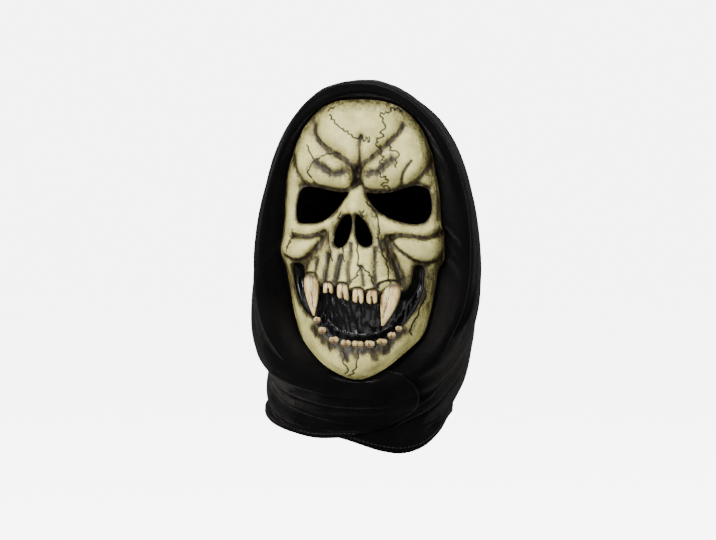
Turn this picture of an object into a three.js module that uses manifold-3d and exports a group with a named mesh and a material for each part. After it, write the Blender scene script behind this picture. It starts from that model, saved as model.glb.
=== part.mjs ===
// A skull mask for carnival: a moulded latex face with fangs and broken teeth, a black
// wrinkled skin that closes its open mouth, and a black cloth hood sewn round the edge of
// the face. The hood goes over the head and its two fronts cross below the chin.
//
// Millimetres, +Z up. The origin is the inside of the hood's crown, where it rests on the
// wearer's head. The face looks along -Y and +X is on the right of someone facing it.

import * as THREE from "three";
import { mergeVertices } from "three/addons/utils/BufferGeometryUtils.js";
import Module from "manifold-3d";

const wasm = await Module();
wasm.setup();

// The latex face
const MASK_TOP = 12; // the crown down to the forehead's edge
const MASK_HEIGHT = 216; // forehead's edge to chin
const MASK_HALF_WIDTH = 64.5; // at the cheekbones
const MASK_DEPTH = 48; // from the sides to the front of the upper jaw
const MASK_SETBACK = 62; // from the middle of the head to the sides of the face
const RELIEF = 10; // height of the boldest carved lobe
const LATEX_WALL = 2.4;
const RIM_CURL_DEPTH = 3.5; // how far the edge of the face turns back
const CURL_START = 0.93; // where it starts, as a share of the way out to the edge
const FIT_GAP = 0.3; // between pieces that touch

// The black skin behind the mouth
const MOUTH_RECESS = 10; // how deep it sinks behind the lips
const MOUTH_WALL = 1.6;
const MOUTH_LAP = 2; // how far it goes behind the lips
const MOUTH_SLOPE = 9; // how far inside the lips it has sunk to its full depth

// The teeth
const FANG_LENGTH = 28.5;
const FANG_WIDTH = 13;
const FANG_THICKNESS = 9;
const INCISOR_LENGTH = 11;
const INCISOR_WIDTH = 8.6;
const INCISOR_THICKNESS = 6;
const STUMP_LENGTH = 4.4;
const STUMP_WIDTH = 7;
const STUMP_THICKNESS = 5;
const TOOTH_ROOT = 2.2; // how far a tooth goes into the gum
const TOOTH_PROUD = 1.4; // how far a tooth stands out of the gum

// The cloth hood
const CLOTH_WALL = 1.6;
const HEM_WALL = 2.8; // the turned-up hem
const HOOD_LAP = 3; // how far the cloth goes behind the face's edge
const HOOD_HALF_WIDTH = 88;
const HOOD_REACH = 100; // from the middle of the head to the back of the hood
const HEM_BELOW_CHIN = 60;
const HOOD_DROP = MASK_TOP + MASK_HEIGHT + HEM_BELOW_CHIN; // crown to the hem's lowest point
const FRONT_SHARE = 0.8; // how far up the face's depth the hood's front is measured
const CROWN_ROOM = 3; // the cloth's middle above the wearer's crown
const HEM_START = 0.93; // where the hem starts, as a share of the way from face to hem
const HEM_TURN = 0.02; // how soon it has its full thickness, in the same share
const SEAM_EASE = 0.75; // the cloth's middle behind the inside of the face's edge, in walls
const SEAM_TURN = 1.8; // how far outside the face the cloth turns to the front, in walls
const PANEL_STEP = 2.6; // how far the under front lies behind the over front
const PANEL_STEP_FROM = 134; // degrees round the hoop where the under front starts to go in
const PANEL_STEP_TO = 150;
const SQUARENESS = 0.03; // how much fuller than an ellipse a hoop is

// How finely the curved walls are divided
const FACE_COLUMNS = 28;
const FACE_ROWS = 38;
const MOUTH_COLUMNS = 12;
const MOUTH_ROWS = 9;
const HOOD_COLUMNS = 34;
const LONG_SPANS = [5, 6, 7, 8, 9, 10]; // the wide spans between hoops, which take a row more
const OUTLINE_STEPS = 160;
const MOUTH_STEPS = 66;
const TOOTH_SIDES = 8;
const PROBE_SIDES = 8; // the wall is measured from a point towards so many sides,
const PROBE_REACHES = [0.7, 1]; // at these shares of its thickness
const MERGE_WITHIN = 1e-4; // points closer than this are one point

/** The rows of a table as objects, each value under its column's name. */
function table(columns, rows) {
  return rows.map((row) => Object.fromEntries(columns.map((column, i) => [column, row[i]])));
}

// The face's edge, from the forehead to the chin: shares of its height and half width, on the
// side of -X (left) and of +X (right).
const EDGE = [
  { down: 0.009, left: 0.31, right: 0.31 },
  { down: 0.037, left: 0.5, right: 0.53 },
  { down: 0.106, left: 0.7, right: 0.735 },
  { down: 0.176, left: 0.81, right: 0.83 },
  { down: 0.245, left: 0.885, right: 0.885 },
  { down: 0.32, left: 0.93, right: 0.93 },
  { down: 0.43, left: 0.955, right: 0.955 },
  { down: 0.514, left: 0.985, right: 1.0 },
  { down: 0.57, left: 0.975, right: 0.99 },
  { down: 0.605, left: 0.945, right: 0.92 },
  { down: 0.68, left: 0.905, right: 0.87 },
  { down: 0.78, left: 0.845, right: 0.8 },
  { down: 0.845, left: 0.76, right: 0.73 },
  { down: 0.91, left: 0.56, right: 0.53 },
  { down: 0.962, left: 0.33, right: 0.32 },
];

// The plain form under the carving: how far forward its middle and its sides stand as
// shares of the mask's depth, how wide it curves, and how flat its middle is.
const FORM = [
  { down: 0.0, middle: 0.36, side: 0.34, spread: 0.5, flat: 2.2 },
  { down: 0.04, middle: 0.43, side: 0.28, spread: 0.62, flat: 2.3 },
  { down: 0.13, middle: 0.52, side: 0.22, spread: 0.78, flat: 2.5 },
  { down: 0.25, middle: 0.57, side: 0.19, spread: 0.9, flat: 2.5 },
  { down: 0.33, middle: 0.55, side: 0.17, spread: 0.93, flat: 2.4 },
  { down: 0.42, middle: 0.66, side: 0.15, spread: 0.96, flat: 2.0 },
  { down: 0.54, middle: 0.84, side: 0.12, spread: 1.0, flat: 1.9 },
  { down: 0.64, middle: 0.92, side: 0.05, spread: 0.92, flat: 1.9 },
  { down: 0.71, middle: 0.94, side: 0.02, spread: 0.88, flat: 2.0 },
  { down: 0.8, middle: 0.86, side: 0.02, spread: 0.82, flat: 2.1 },
  { down: 0.88, middle: 0.78, side: 0.09, spread: 0.76, flat: 2.2 },
  { down: 0.94, middle: 0.7, side: 0.27, spread: 0.62, flat: 2.2 },
  { down: 1.0, middle: 0.5, side: 0.46, spread: 0.5, flat: 2.2 },
];

// Rounded lobes and hollows: place and half sizes as shares of the mask's half width
// (across, wide) and height (down, tall), turn in degrees, lift as a share of the relief,
// and how steep the lobe's border is.
const LOBES = table(
  ["at", "across", "down", "wide", "tall", "turn", "lift", "steep"],
  [
    ["forehead", 0.02, 0.115, 0.44, 0.105, 0, 0.26, 3],
    ["left_temple", -0.68, 0.18, 0.2, 0.1, 12, 0.2, 2],
    ["right_temple", 0.7, 0.18, 0.2, 0.1, -12, 0.2, 2],
    ["left_brow", -0.3, 0.263, 0.36, 0.05, 13, 0.85, 3],
    ["right_brow", 0.35, 0.263, 0.34, 0.05, -13, 0.85, 3],
    ["right_brow_end", 0.74, 0.26, 0.14, 0.05, -24, 0.38, 2],
    ["left_brow_end", -0.76, 0.26, 0.13, 0.05, 24, 0.32, 2],
    ["bridge", 0.01, 0.34, 0.12, 0.06, 0, 0.5, 2],
    ["nose_bone", -0.01, 0.383, 0.19, 0.034, 0, 0.95, 2],
    ["left_eye_hollow", -0.24, 0.365, 0.12, 0.07, -20, -0.45, 2],
    ["right_eye_hollow", 0.27, 0.365, 0.12, 0.07, 20, -0.45, 2],
    ["left_cheek", -0.7, 0.529, 0.32, 0.046, -10, 1.0, 4],
    ["right_cheek", 0.76, 0.531, 0.33, 0.05, 9, 1.0, 4],
    ["left_cheek_hollow", -0.42, 0.56, 0.11, 0.05, -30, -0.4, 2],
    ["right_cheek_hollow", 0.46, 0.57, 0.11, 0.05, 30, -0.4, 2],
    ["upper_jaw", 0.0, 0.6, 0.46, 0.085, 0, 0.42, 3],
    ["chin", 0.02, 0.93, 0.3, 0.045, 0, 0.34, 2],
  ],
);

// Long folds: a grooved or, with a negative depth, ridged line through a few places, in the
// same shares as the lobes.
const FOLDS = [
  {
    at: "brow_furrow_left", width: 0.085, depth: 0.32,
    line: [
      [-0.54, 0.087], [-0.519, 0.129], [-0.391, 0.17], [-0.237, 0.197], [-0.115, 0.221], [-0.032, 0.25],
      [0.016, 0.289],
    ],
  },
  {
    at: "brow_furrow_right", width: 0.085, depth: 0.32,
    line: [
      [0.535, 0.093], [0.498, 0.115], [0.419, 0.141], [0.308, 0.173], [0.169, 0.212], [0.068, 0.238],
      [0.035, 0.289],
    ],
  },
  {
    at: "centre_furrow", width: 0.07, depth: 0.26,
    line: [
      [0.052, 0.132], [0.036, 0.167], [0.033, 0.209], [0.011, 0.256],
    ],
  },
  {
    at: "root_of_nose", width: 0.062, depth: 0.4,
    line: [
      [0.011, 0.256], [0.004, 0.283], [-0.013, 0.306],
    ],
  },
  {
    at: "hollow_left", width: 0.053, depth: 0.36,
    line: [
      [-0.48, 0.227], [-0.373, 0.244], [-0.257, 0.265], [-0.135, 0.259],
    ],
  },
  {
    at: "hollow_right", width: 0.05, depth: 0.36,
    line: [
      [0.156, 0.265], [0.279, 0.256], [0.351, 0.235], [0.426, 0.217],
    ],
  },
  {
    at: "under_brow_left", width: 0.05, depth: 0.28,
    line: [
      [-0.713, 0.307], [-0.526, 0.307], [-0.375, 0.316], [-0.21, 0.324], [-0.08, 0.318],
      [-0.006, 0.297],
    ],
  },
  {
    at: "under_brow_right", width: 0.05, depth: 0.28,
    line: [
      [0.066, 0.297], [0.131, 0.32], [0.233, 0.328], [0.408, 0.326], [0.539, 0.314], [0.709, 0.3],
      [0.836, 0.315],
    ],
  },
  {
    at: "crease_right_2", width: 0.053, depth: 0.3,
    line: [
      [0.865, 0.191], [0.841, 0.233], [0.775, 0.268], [0.685, 0.297],
    ],
  },
  {
    at: "temple_left", width: 0.053, depth: 0.28,
    line: [
      [-0.809, 0.209], [-0.761, 0.245], [-0.71, 0.274], [-0.658, 0.295],
    ],
  },
  {
    at: "under_eye_left", width: 0.065, depth: -0.34,
    line: [
      [-0.807, 0.46], [-0.626, 0.462], [-0.447, 0.451], [-0.367, 0.437],
    ],
  },
  {
    at: "under_eye_right", width: 0.065, depth: -0.34,
    line: [
      [0.321, 0.436], [0.557, 0.463], [0.776, 0.469], [0.973, 0.455],
    ],
  },
  {
    at: "cheek_groove_left", width: 0.05, depth: 0.45,
    line: [
      [-0.795, 0.489], [-0.613, 0.491], [-0.446, 0.482], [-0.369, 0.474],
    ],
  },
  {
    at: "cheek_groove_right", width: 0.05, depth: 0.45,
    line: [
      [0.428, 0.492], [0.524, 0.485], [0.691, 0.488], [0.843, 0.493], [0.973, 0.473],
    ],
  },
  {
    at: "nose_side_left", width: 0.05, depth: -0.34,
    line: [
      [-0.153, 0.401], [-0.266, 0.445], [-0.311, 0.493], [-0.282, 0.528],
    ],
  },
  {
    at: "nose_side_right", width: 0.05, depth: -0.34,
    line: [
      [0.142, 0.412], [0.257, 0.456], [0.315, 0.503], [0.34, 0.527],
    ],
  },
  {
    at: "jaw_side_left", width: 0.062, depth: 0.32,
    line: [
      [-0.339, 0.494], [-0.455, 0.536], [-0.59, 0.578], [-0.644, 0.621],
    ],
  },
  {
    at: "jaw_side_right", width: 0.062, depth: 0.32,
    line: [
      [0.357, 0.499], [0.422, 0.552], [0.486, 0.606], [0.556, 0.654],
    ],
  },
];

// The holes, as closed lines through places in the same shares.
const HOLES = {
  left_eye: [
    [-0.691, 0.316], [-0.528, 0.313], [-0.377, 0.322], [-0.22, 0.331], [-0.09, 0.332], [-0.16, 0.363],
    [-0.274, 0.403], [-0.39, 0.433], [-0.592, 0.443], [-0.745, 0.437], [-0.774, 0.4], [-0.75, 0.352],
  ],
  right_eye: [
    [0.12, 0.333], [0.231, 0.335], [0.407, 0.33], [0.538, 0.317], [0.707, 0.307], [0.826, 0.322],
    [0.866, 0.363], [0.858, 0.408], [0.8, 0.436], [0.694, 0.444], [0.546, 0.438], [0.394, 0.421],
    [0.25, 0.395], [0.175, 0.368],
  ],
  left_nostril: [
    [-0.05, 0.415], [-0.115, 0.425], [-0.2, 0.457], [-0.243, 0.487], [-0.238, 0.512], [-0.178, 0.527],
    [-0.093, 0.516], [-0.056, 0.49], [-0.037, 0.463], [-0.03, 0.433],
  ],
  right_nostril: [
    [0.045, 0.415], [0.108, 0.43], [0.173, 0.462], [0.222, 0.49], [0.22, 0.515], [0.16, 0.524],
    [0.083, 0.512], [0.035, 0.486], [0.018, 0.457], [0.022, 0.43],
  ],
  mouth: [
    [-0.664, 0.59], [-0.74, 0.583], [-0.81, 0.59], [-0.828, 0.64], [-0.79, 0.692], [-0.715, 0.738],
    [-0.625, 0.766], [-0.53, 0.782], [-0.445, 0.812], [-0.345, 0.838], [-0.24, 0.858], [-0.056, 0.872],
    [0.143, 0.873], [0.331, 0.864], [0.44, 0.843], [0.52, 0.817], [0.614, 0.782], [0.71, 0.734],
    [0.766, 0.685], [0.785, 0.637], [0.78, 0.596], [0.732, 0.588], [0.682, 0.594], [0.662, 0.625],
    [0.635, 0.658], [0.56, 0.68], [0.44, 0.668], [0.301, 0.688], [0.152, 0.684], [0.02, 0.678],
    [-0.103, 0.664], [-0.24, 0.662], [-0.38, 0.656], [-0.5, 0.638], [-0.59, 0.63], [-0.64, 0.624],
  ],
};

// The teeth: place of the gum, size and length as shares of its kind's, and how far the tip
// leans to the side and forward as shares of the length.
const TEETH = table(
  ["name", "kind", "across", "down", "size", "long", "lean", "tip"],
  [
    ["fang_left", "fang", -0.537, 0.634, 0.92, 1.13, 0.07, -0.1],
    ["incisor_1", "incisor", -0.29, 0.66, 0.92, 0.66, 0.0, 0.0],
    ["incisor_2", "incisor", -0.101, 0.662, 1.04, 1.04, 0.06, 0.0],
    ["incisor_3", "incisor", 0.085, 0.678, 0.98, 0.95, 0.0, 0.0],
    ["incisor_4", "incisor", 0.241, 0.684, 0.94, 0.88, 0.0, 0.0],
    ["fang_right", "fang", 0.437, 0.664, 1.18, 0.9, -0.2, -0.1],
    ["stump_1", "stump", -0.466, 0.788, 0.68, 1.1, 0.0, 0.0],
    ["stump_2", "stump", -0.394, 0.826, 0.78, 1.1, 0.0, 0.0],
    ["stump_3", "stump", -0.239, 0.858, 0.95, 0.8, 0.0, 0.0],
    ["stump_4", "stump", -0.085, 0.87, 1.0, 0.95, 0.0, 0.0],
    ["stump_5", "stump", 0.056, 0.873, 1.1, 0.75, 0.0, 0.0],
    ["stump_6", "stump", 0.196, 0.872, 0.95, 0.85, 0.0, 0.0],
    ["stump_7", "stump", 0.332, 0.864, 1.02, 0.8, 0.0, 0.0],
    ["stump_8", "stump", 0.437, 0.84, 0.82, 0.9, 0.0, 0.0],
    ["stump_9", "stump", 0.515, 0.816, 0.66, 0.9, 0.0, 0.0],
  ],
);

// A tooth's form from root to tip: place along it, width and thickness as shares.
const TOOTH_FORMS = {
  fang: [
    { along: 0.0, wide: 0.8, thick: 0.8 },
    { along: 0.12, wide: 1.0, thick: 1.0 },
    { along: 0.35, wide: 0.94, thick: 0.92 },
    { along: 0.6, wide: 0.7, thick: 0.7 },
    { along: 0.82, wide: 0.4, thick: 0.42 },
    { along: 1.0, wide: 0.1, thick: 0.12 },
  ],
  incisor: [
    { along: 0.0, wide: 0.8, thick: 0.8 },
    { along: 0.3, wide: 0.96, thick: 1.0 },
    { along: 0.7, wide: 1.0, thick: 0.9 },
    { along: 1.0, wide: 0.72, thick: 0.5 },
  ],
  stump: [
    { along: 0.0, wide: 0.8, thick: 0.8 },
    { along: 0.5, wide: 1.0, thick: 1.0 },
    { along: 1.0, wide: 0.6, thick: 0.6 },
  ],
};

// The hood is a row of hoops, from the fold in front of the face, over the head, to the hem.
// Each hoop goes through a top, a side and a chin point: back as a share of the hood's reach
// or, where negative, of its front's, down as a share of its drop, and side as a share of its
// half width. shift moves the whole hoop.
const HOOPS = table(
  ["at", "topBack", "topDown", "side", "sideBack", "sideDown", "chinBack", "chinDown", "shift"],
  [
    ["front_fold", -0.8, 0.03, 0.92, -0.73, 0.475, -0.88, 0.812, 0.02],
    ["front_roll", -0.7, 0.018, 0.96, -0.61, 0.49, -0.885, 0.826, 0.0],
    ["over_brow", -0.45, 0.016, 0.975, -0.42, 0.52, -0.88, 0.84, -0.02],
    ["over_crown", -0.05, 0.014, 0.965, -0.2, 0.555, -0.86, 0.856, -0.035],
    ["behind_crown", 0.45, 0.045, 0.945, 0.0, 0.6, -0.83, 0.872, -0.055],
    ["back_of_head", 0.83, 0.17, 0.92, 0.12, 0.655, -0.79, 0.888, -0.075],
    ["low_back", 0.97, 0.355, 0.905, 0.18, 0.72, -0.75, 0.902, -0.095],
    ["nape", 0.93, 0.56, 0.88, 0.17, 0.79, -0.72, 0.917, -0.12],
    ["neck", 0.84, 0.72, 0.85, 0.13, 0.845, -0.7, 0.932, -0.14],
    ["neck_tuck", 0.77, 0.83, 0.81, 0.08, 0.88, -0.7, 0.945, -0.155],
    ["cuff", 0.78, 0.875, 0.845, 0.05, 0.9, -0.72, 0.962, -0.165],
    ["hem", 0.8, 0.915, 0.85, 0.03, 0.925, -0.735, 0.982, -0.165],
  ],
);

// Where the over front ends beyond the chin and the under front hides behind it, in degrees
// round the hoop, from the edge of the face (along 0) to the hem (along 1).
const FRONTS = [
  { along: 0.0, over: 20, under: 22 },
  { along: 0.25, over: 24, under: 22 },
  { along: 0.45, over: 32, under: 20 },
  { along: 0.62, over: 34, under: 18 },
  { along: 0.8, over: 20, under: 14 },
  { along: 1.0, over: 3, under: 8 },
];

// Soft folds of the hood: angle from the top in degrees (positive is +X), place from the face
// (0) to the hem (1), half sizes, lift in cloth walls, and how much lower the cloth hangs as a
// share of the hood's drop.
const HOOD_FOLDS = table(
  ["at", "angle", "along", "turn", "run", "lift", "drop"],
  [
    ["right_long_fold", 62, 0.3, 62, 0.05, 1.9, 0],
    ["right_long_dip", 66, 0.38, 60, 0.04, -1.7, 0],
    ["right_back_fold", 70, 0.47, 55, 0.05, 1.6, 0],
    ["left_long_fold", -70, 0.3, 50, 0.06, 1.2, 0],
    ["left_temple_dip", -64, 0.42, 34, 0.09, -2.2, 0],
    ["left_cheek_bag", -112, 0.36, 26, 0.07, 2.2, 0],
    ["left_low_bag", -112, 0.52, 26, 0.09, 1.8, 0],
    ["right_low_dip", 124, 0.52, 22, 0.06, -1.8, 0],
    ["crown_fold", 14, 0.34, 26, 0.05, 1.2, 0],
    ["left_temple", -64, 0.34, 24, 0.11, -1.8, 0],
    ["left_crown", -24, 0.34, 22, 0.11, 3.2, 0],
    ["left_jaw", -128, 0.36, 30, 0.12, 3.4, 0],
    ["hem_right", 92, 1.0, 40, 0.12, -3, -0.02],
    ["hem_left", -92, 1.0, 36, 0.12, 0, -0.01],
    ["hem_left_low", -146, 1.0, 40, 0.16, 0, -0.034],
    ["hem_right_low", 136, 1.0, 26, 0.16, 0, 0.032],
    ["under_end", 188, 1.0, 22, 0.12, 0, -0.035],
    ["over_end", -186, 1.0, 16, 0.12, 0, -0.02],
  ],
);

const clamp = (value, low, high) => Math.min(high, Math.max(low, value));
const smooth = (low, high, value) => {
  const share = clamp((value - low) / (high - low), 0, 1);
  return share * share * (3 - 2 * share);
};
const radians = THREE.MathUtils.degToRad;

/** A table column's value at a place, on a smooth curve through its rows. */
function between(rows, place, column, at) {
  const last = rows.length - 1;
  const x = clamp(at, rows[0][place], rows[last][place]);
  let i = 0;
  while (i < last - 1 && rows[i + 1][place] < x) i += 1;
  const slope = (k) => {
    const from = rows[Math.max(0, k - 1)];
    const to = rows[Math.min(last, k + 1)];
    return (to[column] - from[column]) / (to[place] - from[place]);
  };
  const gap = rows[i + 1][place] - rows[i][place];
  const t = (x - rows[i][place]) / gap;
  const t2 = t * t;
  const t3 = t2 * t;
  return (
    (2 * t3 - 3 * t2 + 1) * rows[i][column] +
    (t3 - 2 * t2 + t) * gap * slope(i) +
    (3 * t2 - 2 * t3) * rows[i + 1][column] +
    (t3 - t2) * gap * slope(i + 1)
  );
}

/** A place on the face, given in shares, as x and z. */
function facePlace([across, down]) {
  return new THREE.Vector2(across * MASK_HALF_WIDTH, -MASK_TOP - down * MASK_HEIGHT);
}

/** A closed smooth line through places of the face. */
function faceLoop(places, steps) {
  const points = places.map(facePlace).map((p) => new THREE.Vector3(p.x, p.y, 0));
  const curve = new THREE.CatmullRomCurve3(points, true, "centripetal");
  return curve.getPoints(steps).slice(0, -1).map((p) => new THREE.Vector2(p.x, p.y));
}

// The face's edge as a radius for each direction round the middle of the face.
const faceMiddle = -MASK_TOP - MASK_HEIGHT / 2;
const edgeLoop = faceLoop(
  [
    [0, 0],
    ...EDGE.map((row) => [row.right, row.down]),
    [0, 1],
    ...EDGE.map((row) => [-row.left, row.down]).reverse(),
  ],
  OUTLINE_STEPS,
);
const edgeRadii = edgeLoop
  .map((point) => {
    const across = point.x / MASK_HALF_WIDTH;
    const up = (point.y - faceMiddle) / (MASK_HEIGHT / 2);
    return { angle: Math.atan2(across, up), radius: Math.hypot(across, up) };
  })
  .sort((a, b) => a.angle - b.angle);

/** How far the face's edge is from its middle, in a direction, in shares. */
function edgeRadius(angle) {
  const turned = Math.atan2(Math.sin(angle), Math.cos(angle));
  const next = edgeRadii.findIndex((row) => row.angle > turned);
  const b = edgeRadii[next < 0 ? 0 : next];
  const a = edgeRadii.at((next < 0 ? 0 : next) - 1);
  const turn = Math.PI * 2;
  const span = (b.angle - a.angle + turn) % turn;
  const part = (turned - a.angle + turn) % turn;
  return a.radius + ((b.radius - a.radius) * part) / span;
}

/** The place at a share of the way from the middle of the face to its edge, as x and z. */
function facePolar(angle, share) {
  const radius = share * edgeRadius(angle);
  return new THREE.Vector2(
    radius * Math.sin(angle) * MASK_HALF_WIDTH,
    faceMiddle + (radius * Math.cos(angle) * MASK_HEIGHT) / 2,
  );
}

/** How far a place is from a line of points, with x and z in millimetres. */
function distanceTo(points, x, z, closed = false) {
  let best = Infinity;
  const count = closed ? points.length : points.length - 1;
  for (let i = 0; i < count; i += 1) {
    const a = points[i];
    const b = points[(i + 1) % points.length];
    const dx = b.x - a.x;
    const dz = b.y - a.y;
    const share = clamp(((x - a.x) * dx + (z - a.y) * dz) / (dx * dx + dz * dz), 0, 1);
    best = Math.min(best, Math.hypot(x - a.x - share * dx, z - a.y - share * dz));
  }
  return best;
}

/** Whether a place lies inside a closed line. */
function isInside(points, x, z) {
  let inside = false;
  points.forEach((a, i) => {
    const b = points[(i + 1) % points.length];
    if (a.y > z !== b.y > z && x < ((b.x - a.x) * (z - a.y)) / (b.y - a.y) + a.x) inside = !inside;
  });
  return inside;
}

const foldLines = FOLDS.map((fold) => ({
  points: fold.line.map(facePlace),
  width: fold.width * MASK_HALF_WIDTH,
  depth: fold.depth * RELIEF,
}));

/** How far forward of its sides the outside of the face stands at x and z. */
function faceForward(x, z) {
  const down = clamp((-MASK_TOP - z) / MASK_HEIGHT, 0, 1);
  const middle = between(FORM, "down", "middle", down);
  const side = between(FORM, "down", "side", down);
  const spread = between(FORM, "down", "spread", down) * MASK_HALF_WIDTH;
  const flat = between(FORM, "down", "flat", down);
  const out = Math.min(1, Math.abs(x) / spread);
  let forward = MASK_DEPTH * (side + (middle - side) * (1 - out ** flat));
  for (const lobe of LOBES) {
    const turn = radians(lobe.turn);
    const dx = x - lobe.across * MASK_HALF_WIDTH;
    const dz = z + MASK_TOP + lobe.down * MASK_HEIGHT;
    const along = (dx * Math.cos(turn) - dz * Math.sin(turn)) / (lobe.wide * MASK_HALF_WIDTH);
    const over = (dx * Math.sin(turn) + dz * Math.cos(turn)) / (lobe.tall * MASK_HEIGHT);
    forward += lobe.lift * RELIEF * Math.exp(-(Math.hypot(along, over) ** lobe.steep));
  }
  for (const fold of foldLines) {
    const away = distanceTo(fold.points, x, z) / fold.width;
    forward -= fold.depth * Math.exp(-away * away);
  }
  const across = x / MASK_HALF_WIDTH;
  const up = (z - faceMiddle) / (MASK_HEIGHT / 2);
  const share = Math.hypot(across, up) / edgeRadius(Math.atan2(across, up));
  return forward - RIM_CURL_DEPTH * smooth(CURL_START, 1, share);
}

/** The y of the outside of the face at x and z. */
function faceOuter(x, z) {
  return -MASK_SETBACK - faceForward(x, z);
}

/** The y of the inside of the face: a ball as wide as the wall fits between the two. */
function faceInner(x, z) {
  let y = faceOuter(x, z) + LATEX_WALL;
  for (let i = 0; i < PROBE_SIDES; i += 1) {
    const angle = (i * 2 * Math.PI) / PROBE_SIDES;
    for (const reach of PROBE_REACHES) {
      const side = reach * LATEX_WALL;
      const rise = Math.sqrt(LATEX_WALL ** 2 - side ** 2);
      y = Math.max(y, faceOuter(x + side * Math.cos(angle), z + side * Math.sin(angle)) + rise);
    }
  }
  return y;
}

/** A closed wall between two grids of points of the same size, given as rows of points. */
function wallGeometry(front, back) {
  const rows = front.length;
  const columns = front[0].length;
  const positions = [...front.flat(), ...back.flat()].flatMap((p) => [p.x, p.y, p.z]);
  const at = (i, j) => i * columns + j;
  const behind = rows * columns;
  const index = [];
  const quad = (a, b, c, d) => index.push(a, b, c, a, c, d);
  for (let i = 0; i < rows - 1; i += 1) {
    for (let j = 0; j < columns - 1; j += 1) {
      quad(at(i, j), at(i + 1, j), at(i + 1, j + 1), at(i, j + 1));
      quad(behind + at(i, j), behind + at(i, j + 1), behind + at(i + 1, j + 1), behind + at(i + 1, j));
    }
  }
  const rim = [];
  for (let j = 0; j < columns - 1; j += 1) rim.push(at(0, j));
  for (let i = 0; i < rows - 1; i += 1) rim.push(at(i, columns - 1));
  for (let j = columns - 1; j > 0; j -= 1) rim.push(at(rows - 1, j));
  for (let i = rows - 1; i > 0; i -= 1) rim.push(at(i, 0));
  rim.forEach((a, k) => {
    const b = rim[(k + 1) % rim.length];
    quad(a, b, behind + b, behind + a);
  });
  const geometry = new THREE.BufferGeometry();
  geometry.setAttribute("position", new THREE.Float32BufferAttribute(positions, 3));
  geometry.setIndex(index);
  return geometry;
}

/** A solid for joining and cutting, from a closed geometry. */
function solidOf(geometry) {
  const plain = geometry.clone();
  plain.deleteAttribute("normal");
  plain.deleteAttribute("uv");
  const merged = mergeVertices(plain, MERGE_WITHIN);
  return new wasm.Manifold(
    new wasm.Mesh({
      numProp: 3,
      vertProperties: new Float32Array(merged.attributes.position.array),
      triVerts: new Uint32Array(merged.index.array),
    }),
  );
}

/** A geometry from a solid. */
function geometryOf(solid) {
  const mesh = solid.getMesh();
  const geometry = new THREE.BufferGeometry();
  geometry.setAttribute("position", new THREE.BufferAttribute(mesh.vertProperties, mesh.numProp));
  geometry.setIndex(new THREE.BufferAttribute(mesh.triVerts, 1));
  return geometry;
}

/** A straight cutter through the face, along Y, with a closed line as its outline. */
function cutterThrough(loop) {
  const depth = MASK_SETBACK + MASK_DEPTH + 2 * RELIEF + HOOD_REACH;
  const cutter = new THREE.ExtrudeGeometry(new THREE.Shape(loop), { depth, bevelEnabled: false, steps: 1 });
  cutter.rotateX(Math.PI / 2);
  return solidOf(cutter);
}

/** A closed line moved outwards by a distance. */
function grownLoop(loop, distance) {
  const area = THREE.ShapeUtils.area(loop);
  return loop.map((point, i) => {
    const before = loop.at(i - 1);
    const after = loop[(i + 1) % loop.length];
    const run = after.clone().sub(before).normalize();
    const out = new THREE.Vector2(run.y, -run.x).multiplyScalar(Math.sign(area) * distance);
    return point.clone().add(out);
  });
}

/** The grid of a disc, with no pole, as a direction and a share of the way to the edge. */
function discGrid(rows, columns) {
  return Array.from({ length: rows + 1 }, (_, i) => {
    const v = 1 - (2 * i) / rows;
    return Array.from({ length: columns + 1 }, (__, j) => {
      const u = (2 * j) / columns - 1;
      const across = u * Math.sqrt(1 - (v * v) / 2);
      const up = v * Math.sqrt(1 - (u * u) / 2);
      return { angle: Math.atan2(across, up), share: Math.hypot(across, up) };
    });
  });
}

/** The tooth's solid, as thick again all round as the gap it is given. */
function toothSolid(tooth, grow) {
  const sizes = {
    fang: [FANG_LENGTH, FANG_WIDTH, FANG_THICKNESS],
    incisor: [INCISOR_LENGTH, INCISOR_WIDTH, INCISOR_THICKNESS],
    stump: [STUMP_LENGTH, STUMP_WIDTH, STUMP_THICKNESS],
  };
  const [length, width, thickness] = sizes[tooth.kind].map((size) => size * tooth.size);
  const gum = facePlace([tooth.across, tooth.down]);
  const reach = length * tooth.long;
  const towards = tooth.kind === "stump" ? 1 : -1; // the lower teeth stand up
  const y = faceOuter(gum.x, gum.y) + thickness / 2 - TOOTH_PROUD;
  const form = TOOTH_FORMS[tooth.kind];
  const points = form.flatMap((row, i) => {
    const end = i === 0 ? -grow : i === form.length - 1 ? grow : 0;
    const along = row.along * (reach + TOOTH_ROOT) - TOOTH_ROOT + end;
    const lean = row.along * row.along * reach;
    return Array.from({ length: TOOTH_SIDES }, (_, k) => {
      const angle = (k * 2 * Math.PI) / TOOTH_SIDES;
      return new THREE.Vector3(
        gum.x + tooth.lean * lean + ((row.wide * width) / 2 + grow) * Math.cos(angle),
        y + tooth.tip * lean + ((row.thick * thickness) / 2 + grow) * Math.sin(angle),
        gum.y + towards * along,
      );
    });
  });
  const index = [];
  const last = (form.length - 1) * TOOTH_SIDES;
  for (let k = 0; k < TOOTH_SIDES; k += 1) {
    const next = (k + 1) % TOOTH_SIDES;
    for (let ring = 0; ring < last; ring += TOOTH_SIDES) {
      index.push(ring + k, ring + next, ring + TOOTH_SIDES + next);
      index.push(ring + k, ring + TOOTH_SIDES + next, ring + TOOTH_SIDES + k);
    }
    if (k > 0 && next > 0) index.push(0, next, k, last, last + k, last + next);
  }
  if (towards < 0) index.reverse();
  const geometry = new THREE.BufferGeometry();
  geometry.setAttribute("position", new THREE.Float32BufferAttribute(points.flatMap((p) => p.toArray()), 3));
  geometry.setIndex(index);
  return solidOf(geometry);
}

const mouthLoop = faceLoop(HOLES.mouth, MOUTH_STEPS);

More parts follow.
